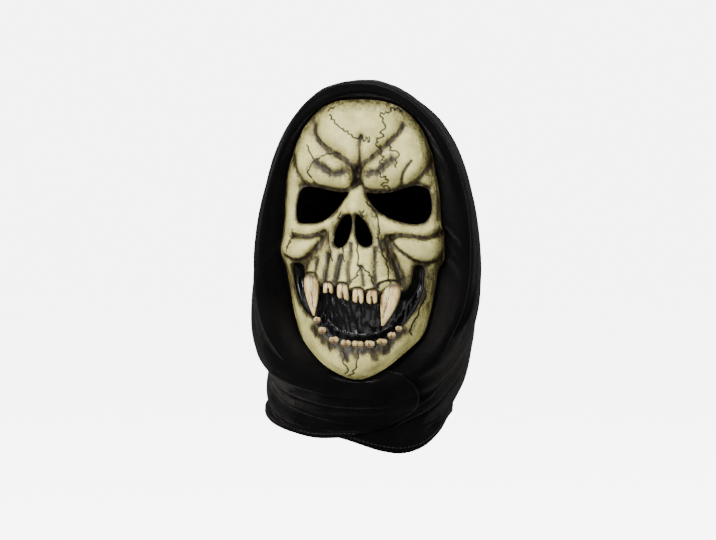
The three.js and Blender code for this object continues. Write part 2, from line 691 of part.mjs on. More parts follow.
/** The latex face, with its eyes, nostrils and mouth cut through and sockets for the teeth. */
function maskShell(sockets) {
  const places = discGrid(FACE_ROWS, FACE_COLUMNS).map((row) => row.map((p) => facePolar(p.angle, p.share)));
  const front = places.map((row) => row.map((p) => new THREE.Vector3(p.x, faceOuter(p.x, p.y), p.y)));
  const back = places.map((row) => row.map((p) => new THREE.Vector3(p.x, faceInner(p.x, p.y), p.y)));
  let shell = solidOf(wallGeometry(front, back));
  for (const name of ["left_eye", "right_eye", "left_nostril", "right_nostril"]) {
    shell = shell.subtract(cutterThrough(faceLoop(HOLES[name], HOLES[name].length * 2)));
  }
  shell = shell.subtract(cutterThrough(mouthLoop));
  return sockets.reduce((cut, socket) => cut.subtract(socket), shell);
}

/** The y of the front of the black skin: just behind the lips, then sunk in the mouth. */
function mouthFront(x, z) {
  const inside = isInside(mouthLoop, x, z) ? distanceTo(mouthLoop, x, z, true) : 0;
  const sunk = MOUTH_RECESS * smooth(0, MOUTH_SLOPE, inside);
  return faceInner(x, z) + FIT_GAP + sunk;
}

/** A solid with room made in it for one that lies in front of it. */
function clearOf(solid, front) {
  return solid.subtract(front.translate(0, FIT_GAP, 0)).subtract(front);
}

/** The black skin that closes the mouth from behind. */
function mouthSkin(sockets, shell) {
  const edge = grownLoop(mouthLoop, MOUTH_LAP);
  const box = new THREE.Box2().setFromPoints(edge).expandByScalar(MOUTH_WALL);
  const grid = (offset) =>
    Array.from({ length: MOUTH_ROWS + 1 }, (_, i) =>
      Array.from({ length: MOUTH_COLUMNS + 1 }, (__, j) => {
        const x = box.min.x + ((box.max.x - box.min.x) * j) / MOUTH_COLUMNS;
        const z = box.max.y - ((box.max.y - box.min.y) * i) / MOUTH_ROWS;
        return new THREE.Vector3(x, mouthFront(x, z) + offset, z);
      }),
    );
  const sheet = solidOf(wallGeometry(grid(0), grid(MOUTH_WALL)));
  const cut = clearOf(sheet.intersect(cutterThrough(edge)), shell);
  return sockets.reduce((rest, socket) => rest.subtract(socket), cut);
}

const hoodFront = MASK_SETBACK + FRONT_SHARE * MASK_DEPTH;

/** A place in front of or behind the middle of the head, from a hoop's share. */
const backOf = (share) => share * (share < 0 ? hoodFront : HOOD_REACH);

/** A point of a hoop of the hood, on a smooth loop through its top, side and chin. */
function hoopPoint(hoop, angle) {
  const through = (top, side, chin) => {
    const mean = (top + chin) / 2;
    return (
      (mean + side) / 2 + ((top - chin) / 2) * Math.cos(angle) + ((mean - side) / 2) * Math.cos(2 * angle)
    );
  };
  const round = (Math.sin(angle) + SQUARENESS * Math.sin(3 * angle)) / (1 - SQUARENESS);
  return new THREE.Vector3(
    HOOD_HALF_WIDTH * (hoop.side * round + hoop.shift),
    through(backOf(hoop.topBack), backOf(hoop.sideBack), backOf(hoop.chinBack)),
    CROWN_ROOM * (1 - hoop.topDown) - HOOD_DROP * through(hoop.topDown, hoop.sideDown, hoop.chinDown),
  );
}

/** The middle of the cloth along one line, from behind the face's edge to the hem. */
function hoodLine(angle) {
  const edge = facePolar(angle, 1);
  const inward = edge.clone().sub(new THREE.Vector2(0, faceMiddle)).normalize();
  const behind = (inset) => {
    const place = edge.clone().addScaledVector(inward, -inset);
    const y = faceInner(place.x, place.y) + FIT_GAP + CLOTH_WALL * SEAM_EASE;
    return new THREE.Vector3(place.x, y, place.y);
  };
  const seam = behind(HOOD_LAP);
  const rim = behind(0);
  const out = new THREE.Vector3(inward.x, 0, inward.y);
  const outside = rim.clone().addScaledVector(out, CLOTH_WALL * SEAM_TURN);
  outside.y -= CLOTH_WALL / 2;
  return [seam, rim, outside, ...HOOPS.map((hoop) => hoopPoint(hoop, angle))];
}

/** The hood: one wall of cloth whose two fronts cross below the chin. */
function hood(shell, skin) {
  const spans = hoodLine(0).length - 1;
  const places = [...Array(spans + 1).keys(), ...LONG_SPANS.map((span) => span + 0.5)].sort((a, b) => a - b);
  const middle = places.map((place) => {
    const along = place / spans;
    const over = between(FRONTS, "along", "over", along);
    const under = between(FRONTS, "along", "under", along);
    return Array.from({ length: HOOD_COLUMNS + 1 }, (__, j) => {
      const angle = 180 + under - ((360 + under + over) * j) / HOOD_COLUMNS;
      const line = hoodLine(radians(angle));
      const curve = new THREE.CatmullRomCurve3(line, false, "centripetal");
      return { angle, along, point: curve.getPoint(along) };
    });
  });
  const normalAt = (i, j) => {
    const rowBefore = middle[Math.max(0, i - 1)][j].point;
    const rowAfter = middle[Math.min(middle.length - 1, i + 1)][j].point;
    const before = middle[i][Math.max(0, j - 1)].point;
    const after = middle[i][Math.min(HOOD_COLUMNS, j + 1)].point;
    const down = rowAfter.clone().sub(rowBefore);
    return down.cross(after.clone().sub(before)).normalize();
  };
  const side = (sign) =>
    middle.map((row, i) =>
      row.map(({ angle, along, point }, j) => {
        const tucked = PANEL_STEP * smooth(PANEL_STEP_FROM, PANEL_STEP_TO, angle);
        const shares = HOOD_FOLDS.map((fold) => {
          const turn = (angle - fold.angle) / fold.turn;
          const run = (along - fold.along) / fold.run;
          return Math.exp(-turn * turn - run * run);
        });
        const lift = CLOTH_WALL * shares.reduce((sum, share, k) => sum + share * HOOD_FOLDS[k].lift, 0);
        const drop = HOOD_DROP * shares.reduce((sum, share, k) => sum + share * HOOD_FOLDS[k].drop, 0);
        const wall = CLOTH_WALL + (HEM_WALL - CLOTH_WALL) * smooth(HEM_START, HEM_START + HEM_TURN, along);
        const moved = point.clone().addScaledVector(normalAt(i, j), lift - tucked + (sign * wall) / 2);
        moved.z -= drop;
        return moved;
      }),
    );
  return clearOf(clearOf(solidOf(wallGeometry(side(1), side(-1))), shell), skin);
}

/** A named mesh of one piece in its finish. */
function piece(name, solid, finish) {
  const geometry = geometryOf(solid).toNonIndexed();
  geometry.computeVertexNormals();
  const mesh = new THREE.Mesh(geometry, finish);
  mesh.name = name;
  return mesh;
}

const bone = new THREE.MeshStandardMaterial({ color: "#c3c596", roughness: 0.55, metalness: 0 });
const ivory = new THREE.MeshStandardMaterial({ color: "#d9c1a4", roughness: 0.4, metalness: 0 });
const wetBlack = new THREE.MeshStandardMaterial({ color: "#0c0c0e", roughness: 0.25, metalness: 0 });
const blackCloth = new THREE.MeshStandardMaterial({ color: "#0d0c0d", roughness: 0.95, metalness: 0 });

const sockets = TEETH.map((tooth) => toothSolid(tooth, FIT_GAP));
const shell = maskShell(sockets);
const skin = mouthSkin(sockets, shell);

const mask = new THREE.Group();
mask.name = "skull_mask";
mask.add(piece("mask_shell", shell, bone));
mask.add(piece("mouth_skin", skin, wetBlack));
for (const tooth of TEETH) mask.add(piece(tooth.name, toothSolid(tooth, 0), ivory));
mask.add(piece("hood", hood(shell, skin), blackCloth));

export default mask;
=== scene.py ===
"""A hooded skull mask: a moulded latex face with fangs, sewn into a black cloth hood.

The face, the skin behind its mouth and the hood are walls worked out from the same few
sizes and tables as the solids they stand for. Lengths are millimetres until a mesh is made.
"""

import logging
import math
from dataclasses import dataclass, field
from enum import Enum
from functools import partial
from typing import Any

import bpy
import numpy as np
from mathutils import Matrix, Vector, noise


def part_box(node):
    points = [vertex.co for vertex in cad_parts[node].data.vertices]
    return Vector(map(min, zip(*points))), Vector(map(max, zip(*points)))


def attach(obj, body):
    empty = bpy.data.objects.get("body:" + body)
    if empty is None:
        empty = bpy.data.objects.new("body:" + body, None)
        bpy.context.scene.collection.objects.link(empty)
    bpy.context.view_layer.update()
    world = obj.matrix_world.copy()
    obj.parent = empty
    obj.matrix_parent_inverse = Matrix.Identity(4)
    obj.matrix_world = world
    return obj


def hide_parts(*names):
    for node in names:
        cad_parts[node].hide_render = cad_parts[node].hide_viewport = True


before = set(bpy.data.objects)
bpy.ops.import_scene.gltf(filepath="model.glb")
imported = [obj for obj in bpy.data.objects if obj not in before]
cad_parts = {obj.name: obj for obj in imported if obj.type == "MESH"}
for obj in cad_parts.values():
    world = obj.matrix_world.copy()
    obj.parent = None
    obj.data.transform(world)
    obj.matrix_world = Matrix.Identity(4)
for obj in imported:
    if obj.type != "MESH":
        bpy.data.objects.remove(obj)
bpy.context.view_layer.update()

Array = np.ndarray
Places = tuple[tuple[float, ...], ...]
log = logging.getLogger("skull_mask")

MM = 0.001
BODY = "root"
FAR = 9.0  # stored where no crack is near, in mm
UPRIGHT = (1.0, 1.0, 0.3)  # stretches a pattern to upright streaks
WAVE_WIDTH = 0.314  # how wide a band of the wave texture is at a scale of 1

# The face's edge, from the forehead to the chin: share down it, and how far out its left and
# right sides are as shares of its half width.
EDGE: Places = (
    (0.009, 0.31, 0.31), (0.037, 0.5, 0.53), (0.106, 0.7, 0.735), (0.176, 0.81, 0.83), (0.245, 0.885, 0.885),
    (0.32, 0.93, 0.93), (0.43, 0.955, 0.955), (0.514, 0.985, 1.0), (0.57, 0.975, 0.99), (0.605, 0.945, 0.92),
    (0.68, 0.905, 0.87), (0.78, 0.845, 0.8), (0.845, 0.76, 0.73), (0.91, 0.56, 0.53), (0.962, 0.33, 0.32),
)

# The plain form under the carving: share down, how far forward the middle and the sides
# stand as shares of the depth, how wide it curves and how flat its middle is.
FORM: Places = (
    (0.0, 0.36, 0.34, 0.5, 2.2), (0.04, 0.43, 0.28, 0.62, 2.3), (0.13, 0.52, 0.22, 0.78, 2.5),
    (0.25, 0.57, 0.19, 0.9, 2.5), (0.33, 0.55, 0.17, 0.93, 2.4), (0.42, 0.66, 0.15, 0.96, 2.0),
    (0.54, 0.84, 0.12, 1.0, 1.9), (0.64, 0.92, 0.05, 0.92, 1.9), (0.71, 0.94, 0.02, 0.88, 2.0),
    (0.8, 0.86, 0.02, 0.82, 2.1), (0.88, 0.78, 0.09, 0.76, 2.2), (0.94, 0.7, 0.27, 0.62, 2.2),
    (1.0, 0.5, 0.46, 0.5, 2.2),
)

# Lobes and hollows: place across and down, half sizes, turn in degrees, lift in mm and how
# steep the border is.
LOBES: Places = (
    (0.02, 0.115, 0.44, 0.105, 0, 2.6, 3), (-0.68, 0.18, 0.2, 0.1, 12, 2.0, 2),
    (0.7, 0.18, 0.2, 0.1, -12, 2.0, 2), (-0.3, 0.263, 0.36, 0.05, 13, 8.5, 3),
    (0.35, 0.263, 0.34, 0.05, -13, 8.5, 3), (0.74, 0.26, 0.14, 0.05, -24, 3.8, 2),
    (-0.76, 0.26, 0.13, 0.05, 24, 3.2, 2), (0.01, 0.34, 0.12, 0.06, 0, 5.0, 2),
    (-0.01, 0.383, 0.19, 0.034, 0, 9.5, 2), (-0.24, 0.365, 0.12, 0.07, -20, -4.5, 2),
    (0.27, 0.365, 0.12, 0.07, 20, -4.5, 2), (-0.7, 0.529, 0.32, 0.046, -10, 10.0, 4),
    (0.76, 0.531, 0.33, 0.05, 9, 10.0, 4), (-0.42, 0.56, 0.11, 0.05, -30, -4.0, 2),
    (0.46, 0.57, 0.11, 0.05, 30, -4.0, 2), (0.0, 0.6, 0.46, 0.085, 0, 4.2, 3),
    (0.02, 0.93, 0.3, 0.045, 0, 3.4, 2),
)

# Lines traced on the face, by what they follow.
LINES: dict[str, Places] = {
    "brow_furrow_left": (
        (-0.54, 0.087), (-0.519, 0.129), (-0.391, 0.17), (-0.237, 0.197), (-0.115, 0.221), (-0.032, 0.25),
        (0.016, 0.289),
    ),
    "brow_furrow_right": (
        (0.535, 0.093), (0.498, 0.115), (0.419, 0.141), (0.308, 0.173), (0.169, 0.212), (0.068, 0.238),
        (0.035, 0.289),
    ),
    "centre_furrow": ((0.052, 0.132), (0.036, 0.167), (0.033, 0.209), (0.011, 0.256)),
    "root_of_nose": ((0.011, 0.256), (0.004, 0.283), (-0.013, 0.306)),
    "hollow_left": ((-0.48, 0.227), (-0.373, 0.244), (-0.257, 0.265), (-0.135, 0.259)),
    "hollow_right": ((0.156, 0.265), (0.279, 0.256), (0.351, 0.235), (0.426, 0.217)),
    "under_brow_left": (
        (-0.713, 0.307), (-0.526, 0.307), (-0.375, 0.316), (-0.21, 0.324), (-0.08, 0.318),
        (-0.006, 0.297),
    ),
    "under_brow_right": (
        (0.066, 0.297), (0.131, 0.32), (0.233, 0.328), (0.408, 0.326), (0.539, 0.314), (0.709, 0.3),
        (0.836, 0.315),
    ),
    "crease_right_1": ((0.655, 0.22), (0.605, 0.244), (0.559, 0.274), (0.526, 0.309)),
    "crease_right_2": ((0.865, 0.191), (0.841, 0.233), (0.775, 0.268), (0.685, 0.297)),
    "crease_left_1": ((-0.6, 0.239), (-0.588, 0.262), (-0.52, 0.292), (-0.493, 0.31)),
    "temple_left": ((-0.809, 0.209), (-0.761, 0.245), (-0.71, 0.274), (-0.658, 0.295)),
    "nose_lip": ((-0.167, 0.401), (-0.049, 0.406), (0.053, 0.398), (0.126, 0.412)),
    "under_eye_left": ((-0.807, 0.46), (-0.626, 0.462), (-0.447, 0.451), (-0.367, 0.437)),
    "under_eye_right": ((0.321, 0.436), (0.557, 0.463), (0.776, 0.469), (0.973, 0.455)),
    "cheek_groove_left": ((-0.795, 0.489), (-0.613, 0.491), (-0.446, 0.482), (-0.369, 0.474)),
    "cheek_groove_right": (
        (0.428, 0.492), (0.524, 0.485), (0.691, 0.488), (0.843, 0.493), (0.973, 0.473),
    ),
    "nose_side_left": ((-0.153, 0.401), (-0.266, 0.445), (-0.311, 0.493), (-0.282, 0.528)),
    "nose_side_right": ((0.142, 0.412), (0.257, 0.456), (0.315, 0.503), (0.34, 0.527)),
    "cheek_bottom_left": (
        (-0.903, 0.557), (-0.778, 0.572), (-0.628, 0.566), (-0.514, 0.539), (-0.436, 0.512),
        (-0.385, 0.492),
    ),
    "cheek_bottom_right": (
        (0.428, 0.493), (0.492, 0.522), (0.61, 0.549), (0.731, 0.576), (0.848, 0.582), (0.957, 0.566),
        (1.017, 0.531),
    ),
    "jaw_side_left": ((-0.339, 0.494), (-0.455, 0.536), (-0.59, 0.578), (-0.644, 0.621)),
    "jaw_side_right": ((0.357, 0.499), (0.422, 0.552), (0.486, 0.606), (0.556, 0.654)),
    "fold_1": ((-0.463, 0.572), (-0.482, 0.637)),
    "fold_2": ((-0.296, 0.553), (-0.326, 0.6), (-0.341, 0.645)),
    "fold_3": ((-0.133, 0.558), (-0.163, 0.599), (-0.193, 0.643)),
    "fold_4": ((-0.023, 0.511), (-0.011, 0.551), (-0.036, 0.599), (-0.021, 0.645)),
    "fold_5": ((0.126, 0.592), (0.152, 0.657)),
    "fold_6": ((0.273, 0.528), (0.269, 0.593), (0.288, 0.669)),
    "fold_7": ((0.415, 0.517), (0.507, 0.6), (0.565, 0.636)),
    "chin_streak_1": ((-0.333, 0.838), (-0.295, 0.886)),
    "chin_streak_2": ((-0.16, 0.866), (-0.137, 0.914)),
    "chin_streak_3": ((-0.077, 0.875), (-0.076, 0.925)),
    "chin_streak_4": ((0.024, 0.874), (0.035, 0.916)),
    "chin_streak_5": ((0.123, 0.874), (0.121, 0.898)),
    "chin_streak_6": ((0.238, 0.874), (0.255, 0.922)),
    "chin_streak_7": ((0.33, 0.869), (0.353, 0.899)),
    "chin_streak_8": ((0.43, 0.848), (0.399, 0.89)),
    "chin_streak_9": ((-0.54, 0.814), (-0.492, 0.84)),
    "chin_streak_10": ((-0.428, 0.833), (-0.396, 0.863)),
    "chin_streak_11": ((0.56, 0.832), (0.48, 0.87)),
    "strip_left": ((-0.837, 0.593), (-0.852, 0.654), (-0.756, 0.719), (-0.626, 0.771)),
    "strip_right": ((0.816, 0.595), (0.816, 0.649), (0.777, 0.709)),
    "strip_right_low": ((0.788, 0.733), (0.712, 0.78), (0.642, 0.833)),
    "lip_band": (
        (-0.501, 0.817), (-0.358, 0.85), (-0.225, 0.87), (-0.037, 0.884), (0.18, 0.886), (0.33, 0.875),
        (0.439, 0.852), (0.544, 0.823),
    ),
}


class Profile(Enum):
    """How a carved line looks across its width."""

    CREASE = 1.1
    SOFT = 2.0


# Carved lines, or ridges with a negative depth: line, profile, width and depth in mm.
CARVING: tuple[tuple[str, Profile, float, float], ...] = (
    ("brow_furrow_left", Profile.SOFT, 5.5, 3.2),
    ("brow_furrow_left", Profile.CREASE, 2.2, 2.0),
    ("brow_furrow_right", Profile.SOFT, 5.5, 3.2),
    ("brow_furrow_right", Profile.CREASE, 2.2, 2.0),
    ("centre_furrow", Profile.SOFT, 4.5, 2.6),
    ("centre_furrow", Profile.CREASE, 1.8, 1.4),
    ("root_of_nose", Profile.SOFT, 4.0, 4.0),
    ("hollow_left", Profile.SOFT, 3.4, 3.6),
    ("hollow_right", Profile.SOFT, 3.2, 3.6),
    ("under_brow_left", Profile.SOFT, 3.0, 3.0),
    ("under_brow_right", Profile.SOFT, 3.0, 3.0),
    ("crease_right_1", Profile.CREASE, 2.4, 2.4),
    ("crease_right_2", Profile.SOFT, 3.4, 3.0),
    ("crease_left_1", Profile.CREASE, 1.6, 1.0),
    ("temple_left", Profile.SOFT, 3.4, 2.8),
    ("under_eye_left", Profile.SOFT, 4.2, -3.4),
    ("under_eye_right", Profile.SOFT, 4.2, -3.4),
    ("cheek_groove_left", Profile.SOFT, 2.8, 5.2),
    ("cheek_groove_right", Profile.SOFT, 2.8, 5.2),
    ("cheek_bottom_left", Profile.CREASE, 3.0, 3.5),
    ("cheek_bottom_right", Profile.CREASE, 3.0, 3.5),
    ("nose_lip", Profile.CREASE, 1.6, -1.6),
    ("nose_side_left", Profile.SOFT, 3.2, -3.4),
    ("nose_side_right", Profile.SOFT, 3.2, -3.4),
    ("jaw_side_left", Profile.SOFT, 4.0, 3.2),
    ("jaw_side_right", Profile.SOFT, 4.0, 3.2),
    ("fold_1", Profile.SOFT, 2.2, 1.8),
    ("fold_2", Profile.SOFT, 2.4, 2.6),
    ("fold_3", Profile.SOFT, 2.4, 2.6),
    ("fold_4", Profile.SOFT, 2.2, 2.0),
    ("fold_5", Profile.SOFT, 2.0, 1.6),
    ("fold_6", Profile.SOFT, 2.2, 2.0),
    ("fold_7", Profile.SOFT, 2.4, 2.0),
    ("strip_right_low", Profile.SOFT, 2.6, 1.6),
    ("chin_streak_2", Profile.SOFT, 2.0, 1.2),
    ("chin_streak_4", Profile.SOFT, 2.0, 1.2),
    ("chin_streak_6", Profile.SOFT, 2.0, 1.2),
    ("chin_streak_8", Profile.SOFT, 2.0, 1.2),
)

# Strokes of dark airbrush, some of them painted shadow under the brows and cheekbones and painted shade in
# the hollows: line, half width in mm and strength.
AIRBRUSH_AND_SHADE: tuple[tuple[str, float, float], ...] = (
    ("brow_furrow_left", 1.0, 0.75), ("brow_furrow_left", 4.6, 0.45),
    ("brow_furrow_right", 1.0, 0.75), ("brow_furrow_right", 4.6, 0.45),
    ("centre_furrow", 0.9, 0.7), ("centre_furrow", 3.6, 0.3), ("root_of_nose", 2.8, 1.0),
    # Airbrush and painted shade in the hollows.
    ("hollow_left", 3.0, 0.92), ("hollow_left", 6.0, 0.3),
    ("hollow_right", 3.2, 0.92), ("hollow_right", 6.5, 0.35),
    # Painted shadow under the overhang of the brows.
    ("under_brow_left", 1.8, 0.8), ("under_brow_right", 1.8, 0.8),
    ("crease_right_1", 1.2, 0.9), ("crease_right_2", 1.5, 0.85), ("crease_right_2", 5.0, 0.35),
    ("crease_left_1", 0.9, 0.5), ("temple_left", 1.6, 0.75), ("temple_left", 5.0, 0.35),
    ("cheek_groove_left", 1.5, 0.95), ("cheek_groove_left", 4.0, 0.4),
    ("cheek_groove_right", 1.3, 0.9), ("cheek_groove_right", 4.0, 0.4),
    # Painted shadow beneath the cheekbones.
    ("cheek_bottom_left", 1.7, 1.0), ("cheek_bottom_right", 1.7, 1.0),
    ("nose_side_left", 2.6, 0.4), ("nose_side_right", 2.6, 0.45),
    ("jaw_side_left", 4.4, 0.55), ("jaw_side_right", 1.3, 0.85), ("jaw_side_right", 5.0, 0.5),
    ("fold_1", 2.2, 0.8), ("fold_2", 3.4, 0.95), ("fold_3", 3.4, 0.95), ("fold_4", 2.2, 0.7),
    ("fold_5", 2.0, 0.65), ("fold_6", 2.4, 0.75), ("fold_7", 3.2, 0.9),
    ("strip_left", 3.0, 0.5), ("strip_right", 3.0, 0.45), ("strip_right_low", 3.0, 0.32),
    ("lip_band", 4.2, 0.95),
    ("chin_streak_1", 2.4, 0.8), ("chin_streak_2", 2.6, 0.95), ("chin_streak_3", 2.2, 0.85),
    ("chin_streak_4", 2.2, 0.85), ("chin_streak_5", 2.0, 0.75), ("chin_streak_6", 2.6, 0.95),
    ("chin_streak_7", 2.4, 0.85), ("chin_streak_8", 2.6, 0.85), ("chin_streak_9", 2.4, 0.7),
    ("chin_streak_10", 2.4, 0.75),
)

# The holes, as closed lines.
HOLES: dict[str, Places] = {
    "left_eye": (
        (-0.691, 0.316), (-0.528, 0.313), (-0.377, 0.322), (-0.22, 0.331), (-0.09, 0.332),
        (-0.16, 0.363), (-0.274, 0.403), (-0.39, 0.433), (-0.592, 0.443), (-0.745, 0.437),
        (-0.774, 0.4), (-0.75, 0.352),
    ),
    "right_eye": (
        (0.12, 0.333), (0.231, 0.335), (0.407, 0.33), (0.538, 0.317), (0.707, 0.307), (0.826, 0.322),
        (0.866, 0.363), (0.858, 0.408), (0.8, 0.436), (0.694, 0.444), (0.546, 0.438), (0.394, 0.421),
        (0.25, 0.395), (0.175, 0.368),
    ),
    "left_nostril": (
        (-0.045, 0.408), (-0.13, 0.415), (-0.21, 0.45), (-0.243, 0.487), (-0.238, 0.512), (-0.178, 0.527),
        (-0.093, 0.516), (-0.056, 0.49), (-0.037, 0.463), (-0.03, 0.433),
    ),
    "right_nostril": (
        (0.03, 0.408), (0.1, 0.424), (0.17, 0.458), (0.222, 0.49), (0.218, 0.515), (0.15, 0.524),
        (0.068, 0.512), (0.02, 0.486), (0.006, 0.457), (0.006, 0.43),
    ),
    "mouth": (
        (-0.664, 0.59), (-0.74, 0.583), (-0.81, 0.59), (-0.828, 0.64), (-0.79, 0.692), (-0.715, 0.738),
        (-0.625, 0.766), (-0.53, 0.782), (-0.445, 0.812), (-0.345, 0.838), (-0.24, 0.858),
        (-0.056, 0.872), (0.143, 0.873), (0.331, 0.864), (0.44, 0.843), (0.52, 0.817), (0.614, 0.782),
        (0.71, 0.734), (0.766, 0.685), (0.785, 0.637), (0.78, 0.596), (0.732, 0.588), (0.682, 0.594),
        (0.662, 0.625), (0.635, 0.658), (0.56, 0.68), (0.44, 0.668), (0.301, 0.688), (0.152, 0.684),
        (0.02, 0.678), (-0.103, 0.664), (-0.24, 0.662), (-0.38, 0.656), (-0.5, 0.638), (-0.59, 0.63),
        (-0.64, 0.624),
    ),
}

# Fine cracks, as jagged lines.
CRACKS: dict[str, Places] = {
    "nose_left": ((-0.311, 0.494), (-0.286, 0.517), (-0.256, 0.54), (-0.27, 0.555), (-0.231, 0.573)),
    "septum": ((-0.123, 0.523), (-0.103, 0.54), (-0.113, 0.555), (-0.077, 0.575)),
    "middle": (
        (0.067, 0.511), (0.064, 0.534), (0.09, 0.557), (0.084, 0.587), (0.117, 0.598), (0.076, 0.616),
        (0.088, 0.625), (0.021, 0.639), (-0.01, 0.657),
    ),
    "middle_right": (
        (0.094, 0.586), (0.146, 0.595), (0.176, 0.607), (0.22, 0.613), (0.213, 0.622), (0.247, 0.631),
        (0.24, 0.642), (0.275, 0.657),
    ),
    "right": (
        (0.34, 0.499), (0.333, 0.516), (0.356, 0.534), (0.35, 0.552), (0.391, 0.57), (0.385, 0.584),
        (0.417, 0.602), (0.414, 0.623), (0.445, 0.652),
    ),
    "chin_left": (
        (-0.133, 0.896), (-0.102, 0.914), (-0.139, 0.932), (-0.09, 0.95), (-0.077, 0.965),
        (-0.136, 0.979),
    ),
    "chin_right": (
        (0.084, 0.877), (0.051, 0.901), (0.068, 0.916), (0.039, 0.937), (0.032, 0.955), (-0.024, 0.965),
        (-0.014, 0.975), (-0.101, 0.985),
    ),
    "jaw_right": (
        (0.789, 0.673), (0.798, 0.703), (0.724, 0.744), (0.713, 0.768), (0.662, 0.792), (0.618, 0.827),
        (0.642, 0.839),
    ),
    "cheek_left": ((-0.782, 0.487), (-0.827, 0.503), (-0.803, 0.511), (-0.858, 0.526), (-0.871, 0.547)),
    "nose_side_right": (
        (0.133, 0.362), (0.188, 0.386), (0.233, 0.398), (0.279, 0.427), (0.307, 0.462), (0.294, 0.491),
        (0.34, 0.527),
    ),
    "nose_lip_left": ((-0.156, 0.398), (-0.196, 0.419), (-0.179, 0.427)),
    "nose_lip_right": ((0.078, 0.397), (0.094, 0.412), (0.12, 0.418), (0.107, 0.4), (0.127, 0.397)),
    "under_eye_left": (
        (-0.805, 0.463), (-0.822, 0.477), (-0.795, 0.486), (-0.833, 0.507), (-0.844, 0.531),
    ),
    "brow_left": (
        (-0.625, 0.163), (-0.596, 0.172), (-0.6, 0.183), (-0.563, 0.194), (-0.537, 0.207),
        (-0.51, 0.218), (-0.484, 0.212), (-0.45, 0.212), (-0.428, 0.201), (-0.392, 0.199),
        (-0.361, 0.192), (-0.316, 0.196), (-0.278, 0.19), (-0.223, 0.194),
    ),
    "brow_left_low": (
        (-0.51, 0.218), (-0.537, 0.227), (-0.551, 0.238), (-0.564, 0.25), (-0.597, 0.26),
        (-0.579, 0.271), (-0.539, 0.278),
    ),
    "suture_left": (
        (-0.345, 0.054), (-0.31, 0.062), (-0.321, 0.069), (-0.274, 0.075), (-0.278, 0.084),
        (-0.237, 0.089), (-0.202, 0.102), (-0.157, 0.106), (-0.136, 0.115), (-0.105, 0.113),
        (-0.091, 0.124), (-0.048, 0.126), (-0.035, 0.135), (-0.001, 0.139), (0.026, 0.142),
        (0.042, 0.137), (0.062, 0.128), (0.077, 0.139), (0.093, 0.15), (0.113, 0.146), (0.119, 0.135),
        (0.139, 0.141), (0.153, 0.153), (0.172, 0.15), (0.164, 0.135),
    ),
    "suture_left_top": ((-0.365, 0.04), (-0.346, 0.029), (-0.315, 0.032), (-0.288, 0.023)),
    "suture_right": (
        (0.478, 0.01), (0.523, 0.023), (0.535, 0.035), (0.503, 0.044), (0.488, 0.033), (0.458, 0.027),
        (0.44, 0.038), (0.414, 0.031), (0.39, 0.029), (0.393, 0.044), (0.36, 0.049), (0.341, 0.044),
        (0.32, 0.054), (0.283, 0.047), (0.273, 0.058), (0.317, 0.069), (0.314, 0.08), (0.351, 0.093),
        (0.341, 0.106), (0.306, 0.111), (0.284, 0.118), (0.318, 0.124), (0.329, 0.133), (0.283, 0.137),
        (0.249, 0.141), (0.253, 0.153), (0.234, 0.163), (0.265, 0.17), (0.289, 0.163), (0.274, 0.177),
        (0.307, 0.186), (0.286, 0.197), (0.336, 0.203), (0.323, 0.214), (0.289, 0.219), (0.311, 0.23),
        (0.351, 0.232), (0.336, 0.243),
    ),
    "suture_right_b": (
        (0.384, 0.161), (0.411, 0.17), (0.395, 0.179), (0.441, 0.184), (0.477, 0.183), (0.503, 0.19),
        (0.518, 0.201), (0.484, 0.208), (0.476, 0.217), (0.507, 0.226), (0.48, 0.234), (0.494, 0.243),
    ),
    "suture_right_c": (
        (0.277, 0.254), (0.319, 0.265), (0.308, 0.274), (0.345, 0.277), (0.382, 0.274), (0.373, 0.283),
        (0.407, 0.286), (0.389, 0.296), (0.341, 0.297), (0.311, 0.305), (0.333, 0.312), (0.369, 0.307),
        (0.392, 0.312), (0.393, 0.323),
    ),
}

# The hood's hoops, from the fold in front of the face, over the head, to the hem: how far
# back and down the top is, how far out, back and down the side, how far back and down the
# chin, and the shift to the right.
HOOPS: Places = (
    (-0.8, 0.03, 0.92, -0.73, 0.475, -0.88, 0.812, 0.02),
    (-0.7, 0.018, 0.96, -0.61, 0.49, -0.885, 0.826, 0.0),
    (-0.45, 0.016, 0.975, -0.42, 0.52, -0.88, 0.84, -0.02),
    (-0.05, 0.014, 0.965, -0.2, 0.555, -0.86, 0.856, -0.035),
    (0.45, 0.045, 0.945, 0.0, 0.6, -0.83, 0.872, -0.055),
    (0.83, 0.17, 0.92, 0.12, 0.655, -0.79, 0.888, -0.075),
    (0.97, 0.355, 0.905, 0.18, 0.72, -0.75, 0.902, -0.095),
    (0.93, 0.56, 0.9, 0.17, 0.79, -0.72, 0.917, -0.14),
    (0.84, 0.72, 0.865, 0.13, 0.845, -0.7, 0.932, -0.16),
    (0.77, 0.83, 0.815, 0.08, 0.88, -0.7, 0.945, -0.155),
    (0.78, 0.875, 0.845, 0.05, 0.9, -0.72, 0.962, -0.165),
    (0.8, 0.915, 0.85, 0.03, 0.925, -0.735, 0.982, -0.165),
)

# Where the two fronts end beyond the chin, in degrees: place from face to hem, over, under.
FRONTS: Places = (
    (0.0, 20, 22), (0.25, 24, 22), (0.45, 32, 20), (0.62, 34, 18), (0.8, 20, 14), (1.0, 3, 8),
)

